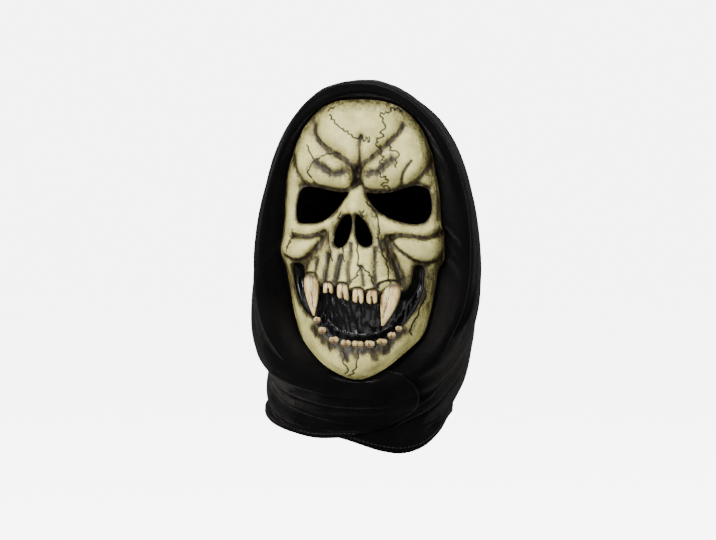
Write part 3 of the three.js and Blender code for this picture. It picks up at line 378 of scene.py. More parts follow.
# Soft folds of the hood: angle from the top in degrees, place from face to hem, half sizes,
# lift in cloth walls and how far the cloth hangs lower as a share of the hood's drop.
HOOD_FOLDS: Places = (
    (62, 0.3, 62, 0.05, 1.9, 0), (66, 0.38, 60, 0.04, -1.7, 0), (70, 0.47, 55, 0.05, 1.6, 0),
    (-70, 0.3, 50, 0.06, 1.2, 0), (-64, 0.42, 34, 0.09, -2.2, 0), (-112, 0.36, 26, 0.07, 2.2, 0),
    (-112, 0.52, 26, 0.09, 1.8, 0), (124, 0.52, 22, 0.06, -1.8, 0), (14, 0.34, 26, 0.05, 1.2, 0),
    (-64, 0.34, 24, 0.11, -1.8, 0), (-24, 0.34, 22, 0.11, 3.2, 0), (-128, 0.36, 30, 0.12, 3.4, 0),
    (92, 1.0, 40, 0.12, -3.0, -0.02), (-94, 1.0, 30, 0.2, 0, -0.034), (-146, 1.0, 40, 0.16, 0, -0.028),
    (136, 1.0, 26, 0.16, 0, 0.032), (188, 1.0, 22, 0.12, 0, -0.035), (-186, 1.0, 16, 0.12, 0, -0.02),
)

# Narrow wrinkles of the cloth: height and half width in mm, and the line as angles from the
# top and places from face to hem.
WRINKLES: tuple[tuple[float, float, Places], ...] = (
    (2.5, 3.0, ((-46, 0.235), (-15, 0.25), (20, 0.245), (55, 0.24), (95, 0.225), (128, 0.22))),
    (-2.3, 2.6, ((-30, 0.29), (0, 0.3), (30, 0.285), (62, 0.28), (100, 0.26), (130, 0.24))),
    (2.8, 3.0, ((-20, 0.37), (8, 0.36), (34, 0.335), (64, 0.32), (98, 0.305), (126, 0.275))),
    (-2.4, 2.8, ((0, 0.41), (28, 0.39), (58, 0.37), (92, 0.35), (122, 0.32))),
    (2.4, 3.2, ((14, 0.46), (40, 0.44), (70, 0.42), (102, 0.4), (128, 0.37))),
    (1.8, 3.4, ((-36, 0.3), (-62, 0.27), (-92, 0.25), (-122, 0.235), (-150, 0.23))),
    (-1.6, 3.0, ((-44, 0.36), (-72, 0.33), (-100, 0.31), (-128, 0.3))),
    (1.0, 4.0, ((-96, 0.44), (-120, 0.4), (-142, 0.37), (-166, 0.36), (-196, 0.4))),
    (-1.0, 3.4, ((-104, 0.56), (-126, 0.52), (-148, 0.5), (-172, 0.52), (-200, 0.56))),
    (0.9, 3.8, ((-98, 0.68), (-122, 0.64), (-146, 0.62), (-168, 0.66), (-190, 0.72))),
    (-1.6, 2.6, ((-84, 0.86), (-108, 0.875), (-130, 0.9), (-150, 0.94))),
    (1.4, 3.6, ((112, 0.48), (130, 0.52), (146, 0.6), (158, 0.7))),
    (-1.4, 3.0, ((104, 0.6), (124, 0.64), (142, 0.74), (156, 0.86))),
    (1.3, 4.0, ((96, 0.74), (116, 0.8), (136, 0.88))),
    (1.5, 4.5, ((-34, 0.5), (-20, 0.6), (-16, 0.74), (-24, 0.86))),
    (-1.4, 4.0, ((10, 0.54), (4, 0.66), (12, 0.8), (8, 0.9))),
    (1.5, 4.5, ((42, 0.54), (34, 0.66), (40, 0.8), (34, 0.9))),
    (1.4, 4.2, ((-74, 0.52), (-60, 0.64), (-62, 0.78), (-54, 0.9))),
    (-1.3, 4.0, ((80, 0.56), (66, 0.68), (70, 0.82), (62, 0.92))),
)


def smooth(low: float, high: float, value: Array | float) -> Array | float:
    """A soft step.

    Args:
        low: Where the step starts.
        high: Where it ends.
        value: The place or places.

    Returns:
        0 below low, 1 above high, and a smooth curve between.
    """
    share = np.clip((value - low) / (high - low), 0.0, 1.0)
    return share * share * (3 - 2 * share)


def between(rows: Places, at: Array) -> Array:
    """Reads a table's columns on a smooth curve through its rows.

    Args:
        rows: The table, with the place in its first column.
        at: The places to read it at.

    Returns:
        One row of values for each place.
    """
    table = np.array(rows, float)
    place, values = table[:, 0], table[:, 1:]
    x = np.clip(at, place[0], place[-1])
    i = np.clip(np.searchsorted(place, x, side="right") - 1, 0, len(place) - 2)
    rank = np.arange(len(place))
    before, after = np.maximum(rank - 1, 0), np.minimum(rank + 1, len(place) - 1)
    slope = (values[after] - values[before]) / (place[after] - place[before])[:, None]
    gap = (place[i + 1] - place[i])[:, None]
    t = (x - place[i])[:, None] / gap
    t2, t3 = t * t, t * t * t
    return (
        (2 * t3 - 3 * t2 + 1) * values[i] + (t3 - 2 * t2 + t) * gap * slope[i]
        + (3 * t2 - 2 * t3) * values[i + 1] + (t3 - t2) * gap * slope[i + 1]
    )


def span_point(p0: Array, p1: Array, p2: Array, p3: Array, t: Array) -> Array:
    """Reads one span of a centripetal Catmull-Rom curve.

    Args:
        p0: The point before the span.
        p1: Where the span starts.
        p2: Where it ends.
        p3: The point after it.
        t: The place in the span, from 0 to 1.

    Returns:
        The point at that place.
    """
    d0, d1, d2 = (np.maximum(np.linalg.norm(b - a, axis=-1, keepdims=True) ** 0.5, 1e-4)
                  for a, b in ((p0, p1), (p1, p2), (p2, p3)))
    m1 = ((p1 - p0) / d0 - (p2 - p0) / (d0 + d1) + (p2 - p1) / d1) * d1
    m2 = ((p2 - p1) / d1 - (p3 - p1) / (d1 + d2) + (p3 - p2) / d2) * d1
    return p1 + m1 * t + (-3 * p1 + 3 * p2 - 2 * m1 - m2) * t ** 2 + (2 * p1 - 2 * p2 + m1 + m2) * t ** 3


def spline(points: Array, at: Array, closed: bool = False) -> Array:
    """Reads a centripetal Catmull-Rom curve.

    Args:
        points: The points it goes through, along the first axis.
        at: The places along it, counted in points.
        closed: Whether it ends where it starts.

    Returns:
        One point, or one row of points, for each place.
    """
    count = len(points)
    if closed:
        padded = np.concatenate([points[-1:], points, points[:2]])
        span = np.clip(np.floor(at).astype(int), 0, count - 1)
    else:
        first, last = 2 * points[:1] - points[1:2], 2 * points[-1:] - points[-2:-1]
        padded = np.concatenate([first, points, last])
        span = np.clip(np.floor(at).astype(int), 0, count - 2)
    t = (at - span).reshape((-1,) + (1,) * (points.ndim - 1))
    return span_point(*(padded[span + k] for k in range(4)), t)


def distance_to(line: Array, points: Array, closed: bool = False, reach: float = 22.0) -> tuple[Array, Array]:
    """Measures how far points are from a line.

    Args:
        line: The line's points, in two dimensions.
        points: The points to measure.
        closed: Whether the line ends where it starts.
        reach: The distance given to all points further away.

    Returns:
        The distances, and the nearest place on the line for each point.
    """
    ends = np.roll(line, -1, axis=0) if closed else line[1:]
    starts = line if closed else line[:-1]
    near = np.all((points > line.min(axis=0) - reach) & (points < line.max(axis=0) + reach), axis=1)
    some = points[near]
    best = np.full(len(some), np.inf)
    nearest = np.zeros_like(some)
    for a, b in zip(starts, ends):
        run = b - a
        share = np.clip(((some - a) @ run) / max(float(run @ run), 1e-12), 0, 1)
        place = a + share[:, None] * run
        away = np.hypot(*(some - place).T)
        closer = away < best
        best[closer] = away[closer]
        nearest[closer] = place[closer]
    distances, places = np.full(len(points), float(reach)), points.copy()
    distances[near], places[near] = np.minimum(best, reach), nearest
    return distances, places


def is_inside(loop: Array, points: Array) -> Array:
    """Tells which points lie inside a closed line.

    Args:
        loop: The closed line's points.
        points: The points to test.

    Returns:
        True for each point inside.
    """
    inside = np.zeros(len(points), bool)
    for a, b in zip(loop, np.roll(loop, -1, axis=0)):
        if a[1] == b[1]:
            continue
        crosses = (a[1] > points[:, 1]) != (b[1] > points[:, 1])
        side = (b[0] - a[0]) * (points[:, 1] - a[1]) / (b[1] - a[1]) + a[0]
        inside ^= crosses & (points[:, 0] < side)
    return inside


def grain(points: Array, size: float, seed: float) -> Array:
    """Reads a smooth noise at each point.

    Args:
        points: The points, in mm.
        size: The size of the noise's lumps, in mm.
        seed: A shift that gives another noise.

    Returns:
        Values from about -1 to 1.
    """
    shift = Vector((seed, seed * 1.7, -seed))
    return np.array([noise.noise(Vector(p) / size + shift) for p in points])


def layered(coat: Array, over: Array) -> Array:
    """Lays one coat of shade over another, both from 0 to 1."""
    return 1 - (1 - coat) * (1 - over)


def scale_of(size: float) -> float:
    """The scale of a texture whose lumps have a size in mm."""
    return 1 / (size * MM)


def linear(hex_colour: str) -> tuple[float, float, float, float]:
    """Turns an sRGB hex colour into linear light.

    Args:
        hex_colour: The colour, such as "#C8CBA0".

    Returns:
        Red, green, blue and alpha.
    """
    parts = [int(hex_colour[i:i + 2], 16) / 255 for i in (1, 3, 5)]
    light = [p / 12.92 if p <= 0.04045 else ((p + 0.055) / 1.055) ** 2.4 for p in parts]
    return (light[0], light[1], light[2], 1.0)


def add_node(
    tree: bpy.types.NodeTree, kind: str, inputs: dict[Any, Any] | None = None, **settings: Any,
) -> Any:
    """Adds a node to a tree.

    Args:
        tree: The tree.
        kind: The node's type.
        inputs: What goes into its sockets, by name or place: a socket to link or a value.
        settings: The node's own settings.

    Returns:
        The node.
    """
    node = tree.nodes.new(kind)
    for key, value in settings.items():
        setattr(node, key, value)
    for key, value in (inputs or {}).items():
        socket = node.inputs[key]
        if isinstance(value, bpy.types.NodeSocket):
            tree.links.new(value, socket)
        else:
            socket.default_value = value
    return node


def closed_wall(front: Array, back: Array, quads: Array) -> tuple[Array, Array]:
    """Closes two like sheets into one wall.

    Args:
        front: The outer sheet's points.
        back: The inner sheet's points.
        quads: The outer sheet's faces, seen from outside.

    Returns:
        All the points and all the faces.
    """
    count = len(front)
    edges = np.concatenate([quads[:, [k, (k + 1) % 4]] for k in range(4)])
    known = {(int(a), int(b)) for a, b in edges}
    rim = np.array([(a, b) for a, b in known if (b, a) not in known])
    rim = rim[np.lexsort((rim[:, 1], rim[:, 0]))]
    sides = np.stack([rim[:, 1], rim[:, 0], rim[:, 0] + count, rim[:, 1] + count], axis=1)
    faces = np.concatenate([quads, quads[:, ::-1] + count, sides])
    return np.concatenate([front, back]), faces


def make_mesh(name: str, points: Array, faces: Any, material: bpy.types.Material) -> bpy.types.Object:
    """Makes an object from points in millimetres.

    Args:
        name: The object's name.
        points: Its points.
        faces: Its faces.
        material: Its material.

    Returns:
        The object, at the origin, with smooth faces.
    """
    mesh = bpy.data.meshes.new(name)
    mesh.from_pydata((np.asarray(points) * MM).tolist(), [], [list(map(int, f)) for f in faces])
    mesh.materials.append(material)
    mesh.polygons.foreach_set("use_smooth", [True] * len(mesh.polygons))
    mesh.update()
    piece = bpy.data.objects.new(name, mesh)
    bpy.context.scene.collection.objects.link(piece)
    return piece


def paint(piece: bpy.types.Object, name: str, values: Array) -> None:
    """Stores one number for each point of a piece.

    Args:
        piece: The piece.
        name: The attribute's name.
        values: The numbers.
    """
    attribute = piece.data.attributes.new(name, "FLOAT", "POINT")
    attribute.data.foreach_set("value", np.asarray(values, np.float32))


def finish_piece(piece: bpy.types.Object, slot: str, *nodes: str) -> None:
    """Lets a piece stand for its solids and ride on the mask.

    Args:
        piece: The piece.
        slot: Not used; the name of the record's material slot.
        nodes: The solids that it replaces.
    """
    if nodes:
        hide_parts(*nodes)
    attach(piece, BODY)
    log.info("%s: %d faces", piece.name, len(piece.data.polygons))


@dataclass(frozen=True)
class Surface:
    """What every finish has: a name, how rough it is and how strongly it reflects."""

    name: str
    roughness: float
    specular: float = 0.5
    ior: float = 1.5

    def start(self) -> tuple[bpy.types.Material, bpy.types.NodeTree, Any, Any]:
        """Starts the material.

        Returns:
            The material, its tree, its shader node and the object's coordinates.
        """
        material = bpy.data.materials.new(self.name)
        material.use_nodes = True
        tree = material.node_tree
        shader = tree.nodes["Principled BSDF"]
        shader.inputs["Roughness"].default_value = self.roughness
        shader.inputs["Specular IOR Level"].default_value = self.specular
        shader.inputs["IOR"].default_value = self.ior
        place = add_node(tree, "ShaderNodeTexCoord").outputs["Object"]
        return material, tree, shader, place

    @staticmethod
    def relief(tree: bpy.types.NodeTree, shader: Any, height: Any, strength: float, depth: float) -> None:
        """Links a relief to the shader.

        Args:
            tree: The material's tree.
            shader: Its shader node.
            height: The socket that gives the height.
            strength: How strong the relief is, from 0 to 1.
            depth: How deep it is, in mm.
        """
        bump = add_node(
            tree, "ShaderNodeBump", {"Height": height, "Strength": strength, "Distance": depth * MM},
        )
        tree.links.new(bump.outputs[0], shader.inputs["Normal"])


# Latex cast in a mould, painted bone and shaded with an airbrush, with painted shade added in the
# hollows, under the brows and cheekbones and towards the edge. It gives the eye a waxy skin with
# a low, soft gloss. The sprayed and painted shade fades at its edges and breaks up into specks
# and wiped streaks, while the thin cracks stay sharp.
@dataclass(frozen=True)
class BoneLatex(Surface):
    """Latex cast in a mould and painted bone, with dark airbrush and painted shade in the hollows."""

    specular: float = 0.38
    light: str = "#DAD488"
    warm: str = "#B5AC66"
    olive: str = "#5B5330"
    shadow: str = "#1D160A"
    crack: str = "#14110B"
    blotch_mm: float = 11.0
    spray_mm: float = 1.6  # drawn coarser than real spray, so that it shows
    wipe_mm: float = 3.4
    waver_mm: float = 1.6
    speck_mm: float = 2.8
    pore_mm: float = 0.9
    dent_mm: float = 6.0

    def build(self) -> bpy.types.Material:
        """Builds the material.

        Returns:
            The material.
        """
        material, tree, shader, place = self.start()
        add = partial(add_node, tree)
        blotch = add("ShaderNodeTexNoise", {"Vector": place, "Scale": scale_of(self.blotch_mm),
                                            "Detail": 5.0})
        patches = add("ShaderNodeMapRange", {0: blotch.outputs["Fac"], 1: 0.38, 2: 0.7})
        base = add("ShaderNodeMix", {0: patches.outputs[0], 6: linear(self.light), 7: linear(self.warm)},
                   data_type="RGBA")

        # The airbrush's paint and the painted shade, wiped unevenly and sprayed at their edges.
        shade = add("ShaderNodeAttribute", attribute_name="shade").outputs["Fac"]
        spatter = add("ShaderNodeTexNoise", {"Vector": place, "Scale": scale_of(self.spray_mm), "Detail": 4.0,
                                             "Roughness": 0.6})
        spray = add("ShaderNodeMapRange", {0: spatter.outputs["Fac"], 1: 0.3, 2: 0.7, 3: -0.14, 4: 0.14})
        upright = add("ShaderNodeMapping", {"Vector": place, "Scale": UPRIGHT})
        wiped = add("ShaderNodeTexNoise", {"Vector": upright.outputs[0], "Scale": scale_of(self.wipe_mm),
                                           "Detail": 3.0})
        share = add("ShaderNodeMapRange", {0: wiped.outputs["Fac"], 1: 0.36, 2: 0.64, 3: 0.76, 4: 1.18})
        uneven = add("ShaderNodeMath", {0: shade, 1: share.outputs[0]}, operation="MULTIPLY")
        coat = add("ShaderNodeMath", {0: uneven.outputs[0], 1: spray.outputs[0]}, operation="ADD").outputs[0]
        soft = add("ShaderNodeMapRange", {0: coat, 1: 0.1, 2: 0.56, 4: 0.97})
        brushed_and_shaded = add("ShaderNodeMix", {0: soft.outputs[0], 6: base.outputs[2], 7: linear(self.olive)},
                      data_type="RGBA")
        dark = add("ShaderNodeMapRange", {0: coat, 1: 0.48, 2: 0.92, 4: 0.99})
        painted = add("ShaderNodeMix", {0: dark.outputs[0], 6: brushed_and_shaded.outputs[2], 7: linear(self.shadow)},
                      data_type="RGBA")

        # Cracks of uneven width, then specks that are denser where the shade is.
        crack = add("ShaderNodeAttribute", attribute_name="crack").outputs["Fac"]
        waver = add("ShaderNodeTexNoise", {"Vector": place, "Scale": scale_of(self.waver_mm), "Detail": 1.0})
        width = add("ShaderNodeMath", {0: waver.outputs["Fac"], 1: 1.3, 2: 0.3}, operation="MULTIPLY_ADD")
        line = add("ShaderNodeMapRange", {0: crack, 1: 0.22, 2: width.outputs[0], 3: 1.0, 4: 0.0})
        lined = add("ShaderNodeMix", {0: line.outputs[0], 6: painted.outputs[2], 7: linear(self.crack)},
                    data_type="RGBA")
        speck = add("ShaderNodeTexVoronoi", {"Vector": place, "Scale": scale_of(self.speck_mm),
                                             "Randomness": 1.0})
        size = add("ShaderNodeMapRange", {0: speck.outputs["Color"], 3: 0.04, 4: 0.22})
        rim = add("ShaderNodeMath", {0: size.outputs[0], 1: 0.06}, operation="ADD")
        dot = add("ShaderNodeMapRange", {0: speck.outputs["Distance"], 1: size.outputs[0], 2: rim.outputs[0],
                                         3: 1.0, 4: 0.0})
        where = add("ShaderNodeMapRange", {0: coat, 1: 0.05, 2: 0.3, 3: 0.16, 4: 0.75})
        dotted = add("ShaderNodeMath", {0: dot.outputs[0], 1: where.outputs[0]}, operation="MULTIPLY")
        colour = add("ShaderNodeMix", {0: dotted.outputs[0], 6: lined.outputs[2], 7: linear(self.shadow)},
                     data_type="RGBA")
        tree.links.new(colour.outputs[2], shader.inputs["Base Color"])

        # The relief: the mould's dents and pores, with cracks and specks sunk into them.
        skin = add("ShaderNodeTexNoise", {"Vector": place, "Scale": scale_of(self.pore_mm), "Detail": 3.0})
        dents = add("ShaderNodeTexNoise", {"Vector": place, "Scale": scale_of(self.dent_mm), "Detail": 2.0})
        height = add("ShaderNodeMath", {0: dents.outputs["Fac"], 1: 3.0, 2: skin.outputs["Fac"]},
                     operation="MULTIPLY_ADD")
        cut = add("ShaderNodeMath", {0: line.outputs[0], 1: -2.5, 2: height.outputs[0]},
                  operation="MULTIPLY_ADD")
        holes = add("ShaderNodeMath", {0: dot.outputs[0], 1: -0.8, 2: cut.outputs[0]},
                    operation="MULTIPLY_ADD")
        self.relief(tree, shader, holes.outputs[0], 0.6, 0.2)
        return material


# Thin latex painted gloss black. It gives the eye a wet black with narrow glints along its
# wrinkles, and grey upright streaks on the crests of the noise that raises them.
@dataclass(frozen=True)
class BlackLatex(Surface):
    """Thin latex painted gloss black, which dries in wet-looking wrinkles."""

    specular: float = 0.32
    colour: str = "#040405"
    # The grey of the upright streaks on the wrinkles' crests.
    worn: str = "#1D1C1A"
    streak_mm: float = 2.2

    def build(self) -> bpy.types.Material:
        """Builds the material.

        Returns:
            The material.
        """
        material, tree, shader, place = self.start()
        add = partial(add_node, tree)
        upright = add("ShaderNodeMapping", {"Vector": place, "Scale": UPRIGHT})
        streak = add("ShaderNodeTexNoise", {"Vector": upright.outputs[0], "Scale": scale_of(self.streak_mm),
                                            "Detail": 4.0})
        grey_streaks = add("ShaderNodeMapRange", {0: streak.outputs["Fac"], 1: 0.58, 2: 0.72, 4: 0.4})
        colour = add("ShaderNodeMix", {0: grey_streaks.outputs[0], 6: linear(self.colour), 7: linear(self.worn)},
                     data_type="RGBA")
        tree.links.new(colour.outputs[2], shader.inputs["Base Color"])
        self.relief(tree, shader, streak.outputs["Fac"], 0.9, 0.9)
        return material


# Latex cast with the face and painted ivory by brush. It gives the eye a warmer and glossier
# colour than the bone, streaked from root to tip, with brown at the gum and in the cracks, and
# painted shade on the flanks and down the notches.
@dataclass(frozen=True)
class ToothLatex(Surface):
    """Latex teeth painted ivory in streaks, with brown in the cracks and at the gum, and painted shade on the
    flanks and in the notches.
    """

    light: str = "#E6D295"
    warm: str = "#BC9350"
    stain_and_shade: str = "#38220F"
    streak_mm: float = 2.5

    def build(self) -> bpy.types.Material:
        """Builds the material.

        Returns:
            The material.
        """
        material, tree, shader, place = self.start()
        add = partial(add_node, tree)
        upright = add("ShaderNodeMapping", {"Vector": place, "Scale": UPRIGHT})
        streak = add("ShaderNodeTexNoise", {"Vector": upright.outputs[0], "Scale": scale_of(self.streak_mm),
                                            "Detail": 3.0})
        streaks = add("ShaderNodeMapRange", {0: streak.outputs["Fac"], 1: 0.42, 2: 0.68})
        base = add("ShaderNodeMix", {0: streaks.outputs[0], 6: linear(self.light), 7: linear(self.warm)},
                   data_type="RGBA")
        shade = add("ShaderNodeAttribute", attribute_name="shade").outputs["Fac"]
        stained_and_shaded = add("ShaderNodeMix", {0: shade, 6: base.outputs[2], 7: linear(self.stain_and_shade)},
                      data_type="RGBA")
        crack = add("ShaderNodeAttribute", attribute_name="crack").outputs["Fac"]
        line = add("ShaderNodeMapRange", {0: crack, 1: 0.14, 2: 0.5, 3: 0.95, 4: 0.0})
        colour = add("ShaderNodeMix", {0: line.outputs[0], 6: stained_and_shaded.outputs[2], 7: linear(self.stain_and_shade)},
                     data_type="RGBA")
        tree.links.new(colour.outputs[2], shader.inputs["Base Color"])
        height = add("ShaderNodeMath", {0: line.outputs[0], 1: -1.5, 2: streak.outputs["Fac"]},
                     operation="MULTIPLY_ADD")
        self.relief(tree, shader, height.outputs[0], 0.5, 0.3)
        return material


# Knitted cotton. It gives the eye a deep black with no gloss, and a pale haze of fibres along
# the folds that turn away.
@dataclass(frozen=True)
class KnitCloth(Surface):
    """Black cotton jersey: a fine knit with short fibres that catch the light on its folds."""

    specular: float = 0.06
    colour: str = "#040304"
    faded: str = "#0A0909"
    fuzz: str = "#B6B2AD"
    sheen: float = 0.18
    stitch_mm: float = 1.1  # drawn coarser than the real 0.6 mm, so that it shows
    patch_mm: float = 30.0
    fibre_mm: float = 1.6

    def build(self) -> bpy.types.Material:
        """Builds the material.

        Returns:
            The material.
        """
        material, tree, shader, place = self.start()
        add = partial(add_node, tree)
        shader.inputs["Sheen Weight"].default_value = self.sheen
        shader.inputs["Sheen Roughness"].default_value = 0.28
        shader.inputs["Sheen Tint"].default_value = linear(self.fuzz)
        patch = add("ShaderNodeTexNoise", {"Vector": place, "Scale": scale_of(self.patch_mm), "Detail": 5.0})
        patches = add("ShaderNodeMapRange", {0: patch.outputs["Fac"], 1: 0.35, 2: 0.75})
        colour = add("ShaderNodeMix", {0: patches.outputs[0], 6: linear(self.colour), 7: linear(self.faded)},
                     data_type="RGBA")
        tree.links.new(colour.outputs[2], shader.inputs["Base Color"])
        weave = {"Vector": add("ShaderNodeUVMap", uv_map="cloth").outputs[0], "Distortion": 0.6,
                 "Detail": 1.0, "Scale": 1 / self.stitch_mm / WAVE_WIDTH}
        ribs, rows = (add("ShaderNodeTexWave", weave, bands_direction=way) for way in "XY")
        knit = add("ShaderNodeMath", {0: ribs.outputs["Fac"], 1: rows.outputs["Fac"]}, operation="MULTIPLY")
        fibre = add("ShaderNodeTexNoise", {"Vector": place, "Scale": scale_of(self.fibre_mm), "Detail": 4.0})
        height = add("ShaderNodeMath", {0: fibre.outputs["Fac"], 1: 1.4, 2: knit.outputs[0]},
                     operation="MULTIPLY_ADD")
        self.relief(tree, shader, height.outputs[0], 0.5, 0.3)
        return material


# Painted board and sewing thread. They give the eye one even colour with hardly any gloss.
@dataclass(frozen=True)
class PlainPaint(Surface):
    """An even matt surface with a faint tooth, for the floor and the thread."""

    colour: str = "#E9E9E8"
    tooth_mm: float = 1.0

    def build(self) -> bpy.types.Material:
        """Builds the material.

        Returns:
            The material.
        """
        material, tree, shader, place = self.start()
        shader.inputs["Base Color"].default_value = linear(self.colour)
        tooth = add_node(
            tree, "ShaderNodeTexNoise", {"Vector": place, "Scale": scale_of(self.tooth_mm), "Detail": 2.0},
        )
        self.relief(tree, shader, tooth.outputs["Fac"], 0.2, 0.1)
        return material


@dataclass
class FaceForm:
    """The carved form of the face, as a depth for each place seen from the front."""

    top: float = field(init=False)
    height: float = field(init=False)
    half_width: float = field(init=False)
    depth: float = 48.0
    setback: float = 62.0
    wall: float = 2.2
    rim_curl: float = 3.5
    curl_start: float = 0.93
    lip_roll: float = 1.3
    outline_steps: int = 640
    slope_step: float = 0.8
    steepest: float = 2.0
    edge: Array = field(init=False)

    def __post_init__(self) -> None:
        """Takes the size of the face from its solid and works out the edge."""
        low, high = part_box("mask_shell")
        self.top = -high[2] / MM
        self.height = (high[2] - low[2]) / MM
        self.half_width = high[0] / MM
        right_side = [(right, down) for down, _, right in EDGE]
        left_side = [(-left, down) for down, left, _ in reversed(EDGE)]
        places = [(0.0, 0.0), *right_side, (0.0, 1.0), *left_side]
        loop = self.loop(tuple(places), self.outline_steps)
        across, up = loop[:, 0] / self.half_width, (loop[:, 1] - self.middle) / (self.height / 2)
        angle, radius = np.arctan2(across, up), np.hypot(across, up)
        order = np.argsort(angle)
        turn = 2 * math.pi
        angle, radius = angle[order], radius[order]
        self.edge = np.stack([
            np.concatenate([angle[-1:] - turn, angle, angle[:1] + turn]),
            np.concatenate([radius[-1:], radius, radius[:1]]),
        ])

    @property
    def middle(self) -> float:
        """The height of the middle of the face."""
        return -self.top - self.height / 2

    def places(self, shares: Places) -> Array:
        """Turns shares of the face into x and z."""
        table = np.array(shares, float)
        return np.stack([table[:, 0] * self.half_width, -self.top - table[:, 1] * self.height], axis=1)

    def loop(self, shares: Places, steps: int) -> Array:
        """A closed smooth line through places of the face, as x and z."""
        points = self.places(shares)
        return spline(points, np.arange(steps) * len(points) / steps, closed=True)

    def edge_radius(self, angle: Array) -> Array:
        """How far the edge is from the middle in a direction, in shares."""
        return np.interp(np.arctan2(np.sin(angle), np.cos(angle)), self.edge[0], self.edge[1])

    def polar(self, angle: Array, share: Array | float) -> Array:
        """The place at a share of the way from the middle to the edge, as x and z."""
        radius = share * self.edge_radius(angle)
        return np.stack([
            radius * np.sin(angle) * self.half_width,
            self.middle + radius * np.cos(angle) * self.height / 2,
        ], axis=-1)

    def edge_share(self, points: Array) -> Array:
        """How far out each place is on the way from the middle to the edge."""
        across, up = points[:, 0] / self.half_width, (points[:, 1] - self.middle) / (self.height / 2)
        return np.hypot(across, up) / self.edge_radius(np.arctan2(across, up))

    def outer(self, points: Array) -> Array:
        """Works out the outside of the face.

        Args:
            points: Places as x and z.

        Returns:
            The y of each.
        """
        x, z = points[:, 0], points[:, 1]
        down = np.clip((-self.top - z) / self.height, 0, 1)
        middle, side, spread, flat = between(FORM, down).T
        out = np.minimum(1, np.abs(x) / (spread * self.half_width))
        forward = self.depth * (side + (middle - side) * (1 - out ** flat))
        for across, low, wide, tall, turn, lift, steep in LOBES:
            angle = math.radians(turn)
            dx, dz = x - across * self.half_width, z + self.top + low * self.height
            along = (dx * math.cos(angle) - dz * math.sin(angle)) / (wide * self.half_width)
            over = (dx * math.sin(angle) + dz * math.cos(angle)) / (tall * self.height)
            forward = forward + lift * np.exp(-np.hypot(along, over) ** steep)
        for name, profile, width, depth in CARVING:
            away = distance_to(self.smooth_line(LINES[name]), points)[0] / width
            forward = forward - depth * np.exp(-away ** profile.value)
        return -self.setback - forward + self.rim_curl * smooth(self.curl_start, 1, self.edge_share(points))

    def smooth_line(self, shares: Places) -> Array:
        """A smooth open line through places of the face."""
        points = self.places(shares)
        return spline(points, np.linspace(0, len(points) - 1, 4 * len(points)))

    def inner(self, points: Array) -> Array:
        """Works out the inside of the face.

        Args:
            points: Places as x and z.

        Returns:
            The y of each, so far behind the outside that the wall keeps its thickness.
        """
        step = self.slope_step
        y = self.outer(points)
        slope_x = (self.outer(points + (step, 0)) - self.outer(points - (step, 0))) / (2 * step)
        slope_z = (self.outer(points + (0, step)) - self.outer(points - (0, step))) / (2 * step)
        return y + self.wall * np.minimum(self.steepest, np.sqrt(1 + slope_x ** 2 + slope_z ** 2))

    def disc(self, columns: int, rows: int) -> tuple[Array, Array]:
        """Covers the face with a grid that has no pole.

        Args:
            columns: Faces across.
            rows: Faces down.

        Returns:
            The places as x and z, and the faces.
        """
        v = 1 - 2 * np.arange(rows + 1)[:, None] / rows
        u = 2 * np.arange(columns + 1)[None, :] / columns - 1
        across = u * np.sqrt(1 - v * v / 2)
        up = v * np.sqrt(1 - u * u / 2)
        places = self.polar(np.arctan2(across, up).ravel(), np.hypot(across, up).ravel())
        return places, grid_faces(rows, columns)


def grid_faces(rows: int, columns: int) -> Array:
    """The faces of a grid, seen from the side where down is down and across goes right.

    Args:
        rows: Faces down.
        columns: Faces across.

    Returns:
        Four point numbers for each face.
    """
    i, j = np.meshgrid(np.arange(rows), np.arange(columns), indexing="ij")
    a = (i * (columns + 1) + j).ravel()
    return np.stack([a, a + columns + 1, a + columns + 2, a + 1], axis=1)


def trimmed(points: Array, quads: Array, loop: Array, keep_inside: bool) -> tuple[Array, Array]:
    """Cuts a grid along a closed line.

    Args:
        points: The grid's places as x and z, which are moved onto the line beside it.
        quads: Its faces.
        loop: The closed line.
        keep_inside: Whether the inside of the line is kept, and not its outside.

    Returns:
        The places and the faces that are kept.
    """
    centres = points[quads].mean(axis=1)
    keep = is_inside(loop, centres) == keep_inside
    kept, lost = quads[keep], quads[~keep]
    border = np.intersect1d(kept.ravel(), lost.ravel())
    moved = points.copy()
    moved[border] = distance_to(loop, points[border], closed=True)[1]
    return moved, kept


def compact(points: Array, quads: Array) -> tuple[Array, Array]:
    """Leaves out the points that no face uses.

    Args:
        points: The points.
        quads: The faces.

    Returns:
        The points left and the faces with their new numbers.
    """
    used, numbers = np.unique(quads.ravel(), return_inverse=True)
    return points[used], numbers.reshape(quads.shape)


